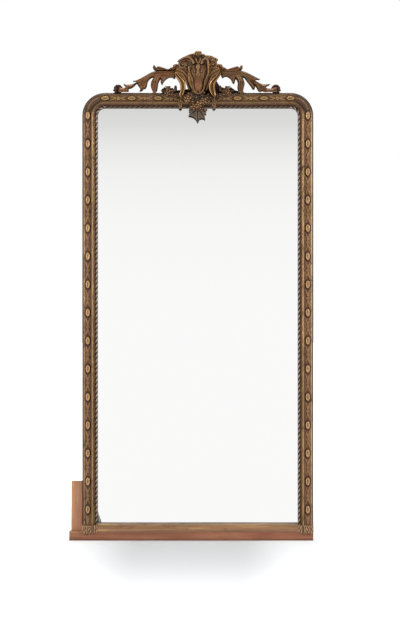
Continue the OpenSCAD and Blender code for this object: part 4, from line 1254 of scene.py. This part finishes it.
# Ear volutes: one each side of the shield and gilded like it, glued to the board. A rib winds in to a round
# eye on a raised seat.
ear = (-65.0, 121.0)
ear_seat = 19.9
eye_profile = [
    (0, ear_seat), (19, ear_seat), (18.4, 24), (16, 27), (10, 28.4), (7, 29), (5.6, 33), (4, 36), (2, 37.4),
    (0, 37.8),
]
for side, name in sides:
    mesh = bmesh.new()
    coil = []
    for k in range(27):
        angle = math.radians(60 + k * 18)
        reach = 18.6 - k * 0.5
        coil.append((ear[0] + reach * math.cos(angle), ear[1] + reach * math.sin(angle)))
    rib(mesh, coil, 10, crest_front(35), level(20.0), taper=(1.0, 0.5), count=104, rise=0.9)
    lathe(mesh, eye_profile, steps=36)
    turned = [vert for vert in mesh.verts if abs(vert.co.z) < 0.1]
    bmesh.ops.translate(mesh, vec=(ear[0] * mm, 0, (top_z + ear[1]) * mm), verts=turned)
    bmesh.ops.remove_doubles(mesh, verts=turned, dist=touch)
    carved_piece(mesh, "ear_volute_" + name, carving_gold, side=side)

# Acanthus branches: from each C-scroll a long stem leaf arches out and down to the knob. Other leaves lap
# over one another, the longest down over the frame. The two branches weren't cut alike, so each has its own
# drawing, and the right one is duller. A leaf has its outline, veins, root, tip and the depth of both ends.
left_branch = [
    (
        [
            [(-201, 86), (-226, 72), (-246, 56)], [(-264, 40), (-258, 30), (-252, 22), (-250, 14)],
            [(-254, 4), (-240, 10)], [(-234, 18), (-228, 17)],
            [(-220, 28), (-218, 42), (-211, 56), (-202, 64)], [(-190, 74)],
        ],
        [
            [(-206, 74), (-228, 50), (-240, 20)], [(-214, 76), (-240, 52), (-252, 30)],
            [(-204, 66), (-220, 44), (-228, 22)],
        ],
        (-205, 76), (-250, 8), 27, 17,
    ),
    (
        [
            [(-236, 64), (-262, 50), (-284, 39), (-302, 37)], [(-312, 36), (-322, 41.5), (-320, 34)],
            [(-314, 28), (-314, 20), (-306, 14)], [(-298, 18), (-288, 20), (-276, 28), (-266, 38)],
            [(-250, 48)],
        ],
        [[(-250, 52), (-280, 36), (-310, 31)], [(-256, 44), (-282, 30), (-306, 22)]], (-245, 50),
        (-318, 26), 24, 18,
    ),
    (
        [
            [(-345, 30), (-332, 24), (-320, 22)], [(-312, 26), (-300, 20)], [(-300, 8), (-301, 1)],
            [(-345, 1)],
        ],
        [[(-302, 14), (-336, 18)], [(-302, 6), (-336, 9)]], (-300, 10), (-345, 10), 19, 15,
    ),
    (
        [
            [(-166, 72), (-161, 58)], [(-162, 48), (-155, 34)], [(-148, 46), (-141, 54)],
            [(-132, 62), (-130, 74)],
        ],
        [[(-146, 72), (-156, 40)]], (-145, 70), (-156, 36), 28, 20,
    ),
    (
        [
            [(-96, 98), (-123, 96), (-150, 97), (-172, 97)], [(-190, 92), (-204, 82)],
            [(-194, 66), (-176, 62)], [(-160, 62), (-138, 60), (-127, 64.5), (-113, 66.5), (-98, 62)],
        ],
        [[(-98, 88), (-134, 88), (-170, 86), (-200, 80)], [(-100, 77), (-136, 76), (-176, 74)]], (-100, 84),
        (-200, 80), 25, 28,
    ),
    (
        [
            [(-186, 88), (-193, 66), (-201, 52), (-204, 38), (-203, 24)], [(-197, 10), (-194, -2)],
            [(-189, -11), (-180, 2), (-174, 18), (-172, 34), (-169, 46), (-161, 60)],
            [(-154, 68), (-152, 82)],
        ],
        [
            [(-168, 82), (-180, 56), (-186, 24), (-188, -6)], [(-162, 72), (-175, 46), (-180, 8)],
            [(-182, 72), (-194, 44), (-196, 16)],
        ],
        (-168, 86), (-190, -14), 31, 23,
    ),
    (
        [
            [(-172, 96.5), (-197, 92), (-213, 84), (-228, 75.5), (-248, 64.5), (-268, 55.5)],
            [(-282, 54), (-278, 49)], [(-268, 50), (-262, 40)], [(-250, 40), (-232, 52), (-214, 60)],
            [(-190, 68)],
        ],
        [
            [(-176, 86), (-214, 76), (-246, 58), (-272, 52)], [(-184, 78), (-226, 62), (-256, 44)],
            [(-178, 92), (-210, 82), (-250, 63)],
        ],
        (-172, 84), (-280, 52), 32, 20,
    ),
]
right_branch = [
    (
        [
            [(-188, 84), (-214, 72), (-236, 54)], [(-248, 40), (-249, 28)], [(-245, 13), (-236, 17)],
            [(-228, 30), (-218, 42), (-207, 57), (-197, 70)], [(-188, 78)],
        ],
        [[(-194, 76), (-218, 54), (-238, 22)], [(-204, 74), (-226, 56), (-244, 32)]], (-195, 76),
        (-244, 14), 27, 17,
    ),
    (
        [
            [(-222, 66), (-244, 56), (-259, 49), (-270, 42.5), (-283, 38.5)],
            [(-297, 38.5), (-313, 39.5), (-308, 33)], [(-294, 26), (-302, 20), (-316, 18)],
            [(-316, 2), (-291, 0)], [(-278, 4), (-268, 0)],
            [(-259, 13), (-253, 24), (-246, 33), (-234, 46)],
        ],
        [
            [(-240, 52), (-268, 34), (-300, 12)], [(-236, 46), (-262, 22), (-276, 6)],
            [(-250, 51), (-278, 34), (-304, 35)],
        ],
        (-240, 50), (-306, 14), 25, 18,
    ),
    (
        [[(-345, 28), (-330, 24), (-318, 19)], [(-306, 20), (-290, 14)], [(-290, 1)], [(-345, 1)]],
        [[(-298, 13), (-336, 16)], [(-298, 6), (-336, 8)]], (-296, 10), (-345, 10), 20, 15,
    ),
    (
        [
            [(-168, 72), (-163, 57)], [(-161, 48), (-156, 38)], [(-148, 46), (-142, 59)],
            [(-132, 66), (-128, 76)],
        ],
        [[(-146, 74), (-156, 44)]], (-145, 70), (-156, 38), 28, 20,
    ),
    (
        [
            [(-96, 100), (-123, 102), (-150, 102), (-176, 101)], [(-190, 96), (-204, 84)],
            [(-194, 68), (-176, 62)], [(-160, 64), (-142, 60), (-131, 68), (-119, 70), (-104, 66)],
        ],
        [[(-98, 92), (-134, 92), (-176, 90)], [(-100, 80), (-136, 80), (-178, 76)]], (-100, 84), (-200, 80),
        25, 28,
    ),
    (
        [
            [(-186, 86), (-191, 74), (-198, 60), (-203, 44), (-201, 28)], [(-197, 14), (-196, -2)],
            [(-174, -2), (-173, 12), (-171, 26), (-173, 40), (-169, 54), (-160, 66)], [(-156, 80)],
        ],
        [
            [(-168, 84), (-182, 56), (-186, 24), (-186, 0)], [(-163, 74), (-176, 46), (-178, 8)],
            [(-182, 74), (-194, 44), (-192, 16)],
        ],
        (-168, 86), (-186, -4), 31, 23,
    ),
    (
        [
            [(-172, 101), (-188, 97), (-205, 92), (-226, 83), (-245, 73), (-260, 65)],
            [(-270, 62), (-267, 56)], [(-257, 57), (-250, 55)], [(-240, 44), (-222, 52), (-206, 62)],
            [(-188, 70)],
        ],
        [
            [(-176, 88), (-212, 78), (-240, 64), (-264, 60)], [(-184, 80), (-220, 64), (-244, 50)],
            [(-178, 94), (-208, 86), (-246, 70)],
        ],
        (-172, 84), (-268, 58), 32, 20,
    ),
]
branch_gold = carved_gold(
    "branch_gold", tint(104, 69, 37), tint(160, 112, 71), tint(80, 43, 39), tint(46, 29, 24), lustre=0.75,
    grey=0.4,
)
right_gold = carved_gold(
    "branch_gold_right", tint(93, 64, 36), tint(144, 106, 67), tint(75, 43, 37), tint(42, 27, 22),
    lustre=0.75, grey=0.4,
)
for (side, name), branch, gold in zip(sides, (left_branch, right_branch), (branch_gold, right_gold)):
    mesh = bmesh.new()
    for form, veins, root, tip, at_root, at_tip in branch:
        carve(
            mesh, form, veins, fall(root, tip, at_root, at_tip), crest_back(), edge=7, cut=1.3,
            round_off=0.7,
        )
    carved_piece(mesh, "acanthus_" + name, gold, side=side)

# Top leaves: on each side a leaf that lies along the stem, its tip turned over, and a tuft behind the head
# of the C-scroll. They are gilded like the left branch.
top_leaf = [
    [(-108, 106), (-123, 106), (-129, 104.5), (-149, 110)], [(-171, 117), (-177, 113), (-182, 106)],
    [(-186, 97), (-169, 96), (-144, 96)], [(-110, 97)],
]
top_cuts = [[(-112, 101), (-140, 102), (-176, 108)]]
curl = [
    [(-180, 98), (-186, 97), (-193, 104)],
    [(-195, 113), (-192, 120), (-187, 120), (-182, 113), (-178, 106)],
]
curl_cuts = [[(-184, 104), (-190, 112)]]
head = [
    [(-125, 104), (-118, 110), (-109, 114)], [(-106, 122), (-99, 125), (-90, 126), (-83, 120)],
    [(-84, 104), (-96, 98)], [(-112, 98)],
]
head_cuts = [[(-112, 102), (-98, 110), (-90, 118)], [(-100, 100), (-88, 108)]]
for side, name in sides:
    mesh = bmesh.new()
    carve(
        mesh, top_leaf, top_cuts, fall((-110, 100), (-178, 106), 28, 24), crest_back(), edge=4, cut=2.2,
        round_off=0.6,
    )
    carve(
        mesh, curl, curl_cuts, fall((-180, 100), (-192, 120), 28, 22), crest_back(), edge=4, cut=2,
        round_off=0.6,
    )
    carve(
        mesh, head, head_cuts, fall((-112, 100), (-88, 118), 30, 24), crest_back(), edge=5, cut=2.4,
        round_off=0.6,
    )
    carved_piece(mesh, "top_leaf_" + name, branch_gold, side=side)

# Knobs: a turned rosette at the outer end of each branch, carved with lobes round a raised eye, and a small
# leaf beside it. Dirt has left them a dull red-brown. The right one stands a little nearer the middle.
knob = (-345.0, 17.5)
knob_profile = [
    (0, -3.6), (20, -3.6), (20, 10), (19, 14), (16, 15.8), (12.8, 14.4), (10.6, 11.6), (9, 13), (6.4, 16.4),
    (3, 18.2), (0, 19),
]
knob_leaf = [[(-350, 28), (-360, 22)], [(-368, 10), (-360, 7)], [(-362, 1), (-350, 1)]]
knob_cuts = [[(-350, 14), (-364, 10)]]
lobe_from = 9.5
lobe_depth = 9.0
knob_gold = carved_gold(
    "knob_gold", tint(78, 48, 38), tint(104, 68, 52), tint(70, 40, 38), tint(44, 28, 26), lustre=0.7,
    grey=0.3,
)
for (side, name), inward in zip(sides, (0, 7)):
    mesh = bmesh.new()
    lathe(mesh, knob_profile, steps=48)
    bmesh.ops.remove_doubles(mesh, verts=mesh.verts, dist=touch)
    for vert in mesh.verts:
        reach = math.hypot(vert.co.x, vert.co.z) / mm
        if reach > lobe_from and vert.co.y < -lobe_depth * mm:
            lobed = abs(math.sin(4 * math.atan2(vert.co.z, vert.co.x)))
            vert.co.x *= 1 - 0.08 * (1 - lobed)
            vert.co.z *= 1 - 0.08 * (1 - lobed)
            vert.co.y += 2.2 * mm * (1 - lobed)
    bmesh.ops.translate(mesh, vec=(knob[0] * mm, 0, (top_z + knob[1]) * mm), verts=mesh.verts)
    carve(
        mesh, knob_leaf, knob_cuts, fall((-350, 14), (-368, 10), 12, 8), level(board_depth), edge=4,
        cut=1.6,
    )
    bmesh.ops.translate(mesh, vec=(inward * mm, 0, 0), verts=mesh.verts)
    carved_piece(mesh, "knob_" + name, knob_gold, side=side)

# Flower sprigs: small flowers among pointed leaves, on the frame between each C-scroll and its branch. The
# lower ones lap over the top rail.
garland_gold = carved_gold(
    "garland_gold", tint(102, 71, 41), tint(192, 148, 102), tint(88, 54, 35), tint(38, 26, 17), lustre=0.7,
    grey=0.3,
)
sprig = [
    [(-161, 10), (-150, 13)], [(-141, 9), (-137, 20)], [(-143, 33), (-132, 28)], [(-122, 30), (-117, 21)],
    [(-118, 12), (-108, 14)], [(-102, 10), (-103, 23)], [(-100, 33), (-92, 32), (-90, 22)], [(-90, 8)],
    [(-96, 1), (-130, 1)], [(-152, 1)],
]
sprig_cuts = [
    [(-134, 4), (-138, 18), (-141, 30)], [(-128, 6), (-124, 26)], [(-98, 4), (-96, 28)],
    [(-140, 4), (-157, 9)],
]
sprig_flowers = ((-144, 11, 26, 14, 90, 0.6), (-127, 19, 30, 13, 60, 0.75), (-110, 8, 30, 14, 20, 0.6))
rail_flowers = ((-130, -3, 15, 40, 0.8), (-112, -10, 14, 10, 0.55), (-98, -14, 11, 70, 0.75))
for side, name in sides:
    mesh = bmesh.new()
    slope = fall((-125, 0), (-125, 32), 20, 12)
    carve(mesh, sprig, sprig_cuts, slope, level(board_depth), edge=4, cut=2.2, round_off=0.6)
    for x, h, rise, radius, turn, wear_and_highlight in sprig_flowers:
        flower(mesh, x, top_z + h, 0, rise, radius, turn=turn, bare=wear_and_highlight)
    for x, h, radius, turn, wear_and_highlight in rail_flowers:
        flower(mesh, x, top_z + h, lap_clear, 12, radius, turn=turn, bare=wear_and_highlight)
    carved_piece(mesh, "sprig_" + name, garland_gold, side=side)

# Garland: small flowers and leaves crowded on a ground that narrows downwards, glued over the middle of the
# top rail. The flowers are rubbed bright where they stand out. Each has its place, radius and bareness.
hand = random.Random(8)
garland = [
    (-57, -21, 13, 0.6), (-43, -28, 17, 0.95), (-27, -12, 14, 0.7), (-23, -42, 16, 0.65),
    (-5, -22, 15, 0.55), (-15, -62, 15, 0.9), (3, -54, 17, 1.0), (11, -72, 13, 0.8), (24, -37, 17, 0.9),
    (18, -14, 13, 0.55), (41, -24, 15, 0.65), (56, -25, 12, 0.5),
]
garland_low, garland_top = -66, -11
garland_rows = [(-66, 24), (-52, 36), (-38, 48), (-24, 56), (-11, 60)]
petal_leaf = 21


def garland_face(t, s):
    h = garland_low + (garland_top - garland_low) * t
    wide = between(garland_rows, h)[0]
    ragged = 1 - 0.16 * abs(math.sin(9 * math.pi * t)) * abs(s)
    return *crest(wide * s * ragged, h), lap_clear + 3 + 3.4 * math.cos(s * 1.4)


mesh = bmesh.new()
on_rail = level(lap_clear)
relief(mesh, 30, 20, garland_face, on_rail)
for x, h, radius, wear_and_highlight in garland:
    turn = hand.uniform(0, 72)
    seat = lap_clear + (2 if h > -50 else 9)
    for k in range(3):
        way = math.radians(turn + 120 * k + hand.uniform(-20, 20))
        tip = crest(x + petal_leaf * math.cos(way), max(-72, h + petal_leaf * math.sin(way)))
        bend = crest(x + 11 * math.cos(way + 0.3), h + 11 * math.sin(way + 0.3))
        leaf(
            mesh, crest(x, h), bend, tip, 13, level(lap_clear + 9), on_rail, lobes=2, notch=0.15, lift=1,
            across=8,
        )
    flower(mesh, x, top_z + h, seat, 14 + hand.uniform(-3, 3), radius, turn=turn, bare=wear_and_highlight)
carved_piece(mesh, "garland", garland_gold)

# Pendant: a palmette that hangs from the garland over the glass, with three flowers at its head. Its tips
# are uneven, and its gold is dull with dirt.
dull_gold = carved_gold(
    "dull_gold", tint(79, 69, 57), tint(124, 106, 86), tint(76, 54, 44), tint(38, 32, 30), lustre=0.5,
    grey=0.6,
)
pendant = [
    [(-30, -64), (-38, -74)], [(-39, -82), (-33, -89)], [(-40, -98), (-41, -101), (-28, -103)],
    [(-17, -108), (-10, -115)], [(-2, -128), (1, -128), (6, -116)], [(14, -112), (22, -112)],
    [(32, -117), (30, -104)], [(28, -96), (35, -93)], [(37, -90), (34, -82)], [(42, -70), (40, -64)],
]
pendant_veins = [
    [(0, -66), (-1, -124)], [(-4, -68), (-14, -84), (-38, -99)], [(6, -68), (14, -88), (30, -113)],
    [(-8, -66), (-36, -80)], [(10, -66), (34, -88)],
]


def pendant_face(place):
    return lap_clear + 15 + (place.y - top_z + 64) * 0.09


mesh = bmesh.new()
carve(mesh, pendant, pendant_veins, pendant_face, on_rail, edge=6, cut=3, round_off=0.6)
for x, h, radius in ((-2, -74, 12), (-18, -76, 9), (16, -74, 9)):
    flower(mesh, x, top_z + h, lap_clear + 8, 9, radius)
carved_piece(mesh, "pendant_leaf", dull_gold)

# Husk drops: from the foot of each C-scroll hang a small flower and a string of husks, the lowest the
# smallest, gilded like the garland.
husk = [
    [(0, 4), (-8, -2), (-9, -12)], [(-7, -22), (-3, -17)], [(0, -27), (3, -17)],
    [(7, -22), (9, -12), (8, -2)],
]
mesh = bmesh.new()
for x in (-76, 70):
    for top, grow in ((-30, 1.05), (-46, 0.9), (-60, 0.62)):
        form = [[(x + px * grow, top + ph * grow) for px, ph in stroke] for stroke in husk]
        veins = [[(x, top), (x + out * grow, top - 20 * grow)] for out in (-5, 0, 5)]
        carve(
            mesh, form, veins, level(lap_clear + 6 + 7 * grow), on_rail, edge=4, cut=2.4, round_off=0.7,
            step=1.5,
        )
    flower(mesh, x + 1, top_z - 42, lap_clear + 6, 13, 11, turn=80, bare=0.9)
carved_piece(mesh, "husk_drops", garland_gold)


# Hangers: on each side of the back a strap of folded brass, screwed to the carcass. Its knuckle holds the
# bar of a D-ring that swings.
def brass_finish():
    finish = Finish("hanger_brass")
    tarnish = (finish.cloud(70, 5) + finish.cloud(300, 4) * 0.4).step(0.62, 0.86)
    color = finish.mix(tarnish, tint(168, 136, 78), tint(92, 72, 44))
    return finish.close(color, 0.3 + tarnish * 0.3, 0.95 - tarnish * 0.4, bump=tarnish, depth=0.0002)


dress(brass_finish(), "hanger_strap_left", "hanger_strap_right", "hanger_ring_left", "hanger_ring_right")

# The studio: a pale floor of paper that keeps the mirror's shadow, white all round, and in the glass the
# far wall, greyer above the head. Two tall soft lamps stand left and right of the camera, and one hangs
# above and behind the mirror. The paper glows more away from the mirror and to its sides: painted light
# that shortens and narrows the mirror's shadow.
floor_mesh = bmesh.new()
bmesh.ops.create_grid(floor_mesh, x_segments=1, y_segments=1, size=60)
floor_data = bpy.data.meshes.new("floor")
floor_mesh.to_mesh(floor_data)
floor_mesh.free()
floor = bpy.data.objects.new("floor", floor_data)
scene.collection.objects.link(floor)

paper = Finish("floor_paper")
x, y, _ = paper.axes()
away = ((x * x + y * y) ** 0.5).step(0.6, 3.95)
beside = (x + 0.04).size().step(0.2, 0.47)
in_view = paper.node("ShaderNodeLightPath", out="Is Camera Ray")
in_metal = paper.node("ShaderNodeLightPath", out="Is Glossy Ray")
in_glass = paper.node("ShaderNodeLightPath", out="Is Transmission Ray")
plain_white = (1, 1, 1, 1)
matt = paper.node("ShaderNodeBsdfDiffuse", None, {"Color": (0.77, 0.785, 0.8, 1)})
# Painted light: the paper glows for the camera, more away from the mirror and to its sides, so that the
# mirror's shadow fades and narrows.
painted_glow = {"Color": plain_white, "Strength": away * 0.8 + beside * 0.29}
lit = paper.node("ShaderNodeAddShader", None, {0: matt, 1: paper.node("ShaderNodeEmission", None, painted_glow)})
white = paper.node("ShaderNodeEmission", None, {"Color": plain_white, "Strength": 0.985})
shown = paper.node("ShaderNodeMixShader", None, {0: in_view, 1: matt, 2: lit})
mirrored = (in_metal + in_glass).held()
shown = paper.node("ShaderNodeMixShader", None, {0: mirrored, 1: shown, 2: white})
floor_data.materials.append(paper.end(shown))

world = bpy.data.worlds.new("studio")
scene.world = world
sky = Finish("studio", world)
way = sky.node("ShaderNodeTexCoord", out="Generated")
ahead, height = [sky.node("ShaderNodeSeparateXYZ", None, {0: way}, out=axis) for axis in (1, 2)]
wall_greys = (
    (0.0, 0.985), (0.27, 0.955), (0.40, 0.905), (0.47, 0.84), (0.535, 0.735), (0.585, 0.685), (0.72, 0.695),
)
wall = sky.ramp([(place, (grey, grey, grey, 1)) for place, grey in wall_greys], height / 0.15)
wall = sky.mix(height.step(0.24, 0.34), wall, plain_white)
wall = sky.mix(ahead.step(-0.9, -0.5), wall, (0.6, 0.59, 0.57, 1))
in_view = sky.node("ShaderNodeLightPath", out="Is Camera Ray")
in_mirror = sky.node("ShaderNodeLightPath", out="Is Glossy Ray")
soft = sky.node("ShaderNodeBackground", None, {"Color": (1, 0.99, 0.97, 1), "Strength": 0.6})
far = sky.node("ShaderNodeBackground", None, {"Color": wall, "Strength": 1.0})
white = sky.node("ShaderNodeBackground", None, {"Color": plain_white, "Strength": 1.0})
shown = sky.node("ShaderNodeMixShader", None, {0: in_mirror, 1: soft, 2: far})
shown = sky.node("ShaderNodeMixShader", None, {0: in_view, 1: shown, 2: white})
sky.end(shown, "ShaderNodeOutputWorld")


def lamp(name, place, aim, width, height, watts):
    """A soft rectangular lamp that faces a place."""
    light = bpy.data.lights.new(name, "AREA")
    light.shape = "RECTANGLE"
    light.size = width
    light.size_y = height
    light.energy = watts
    made = bpy.data.objects.new(name, light)
    made.location = place
    made.rotation_euler = (Vector(aim) - Vector(place)).to_track_quat("-Z", "Y").to_euler()
    scene.collection.objects.link(made)


lamp("key_left", (-3.9, -2.7, 2.3), (0, 0, 1.1), width=0.8, height=2.6, watts=74)
lamp("key_right", (3.9, -2.7, 2.3), (0, 0, 1.1), width=0.8, height=2.6, watts=90)
lamp("top", (0, 1.6, 5.0), (0, 1.6, 0), width=1.6, height=2.6, watts=90)
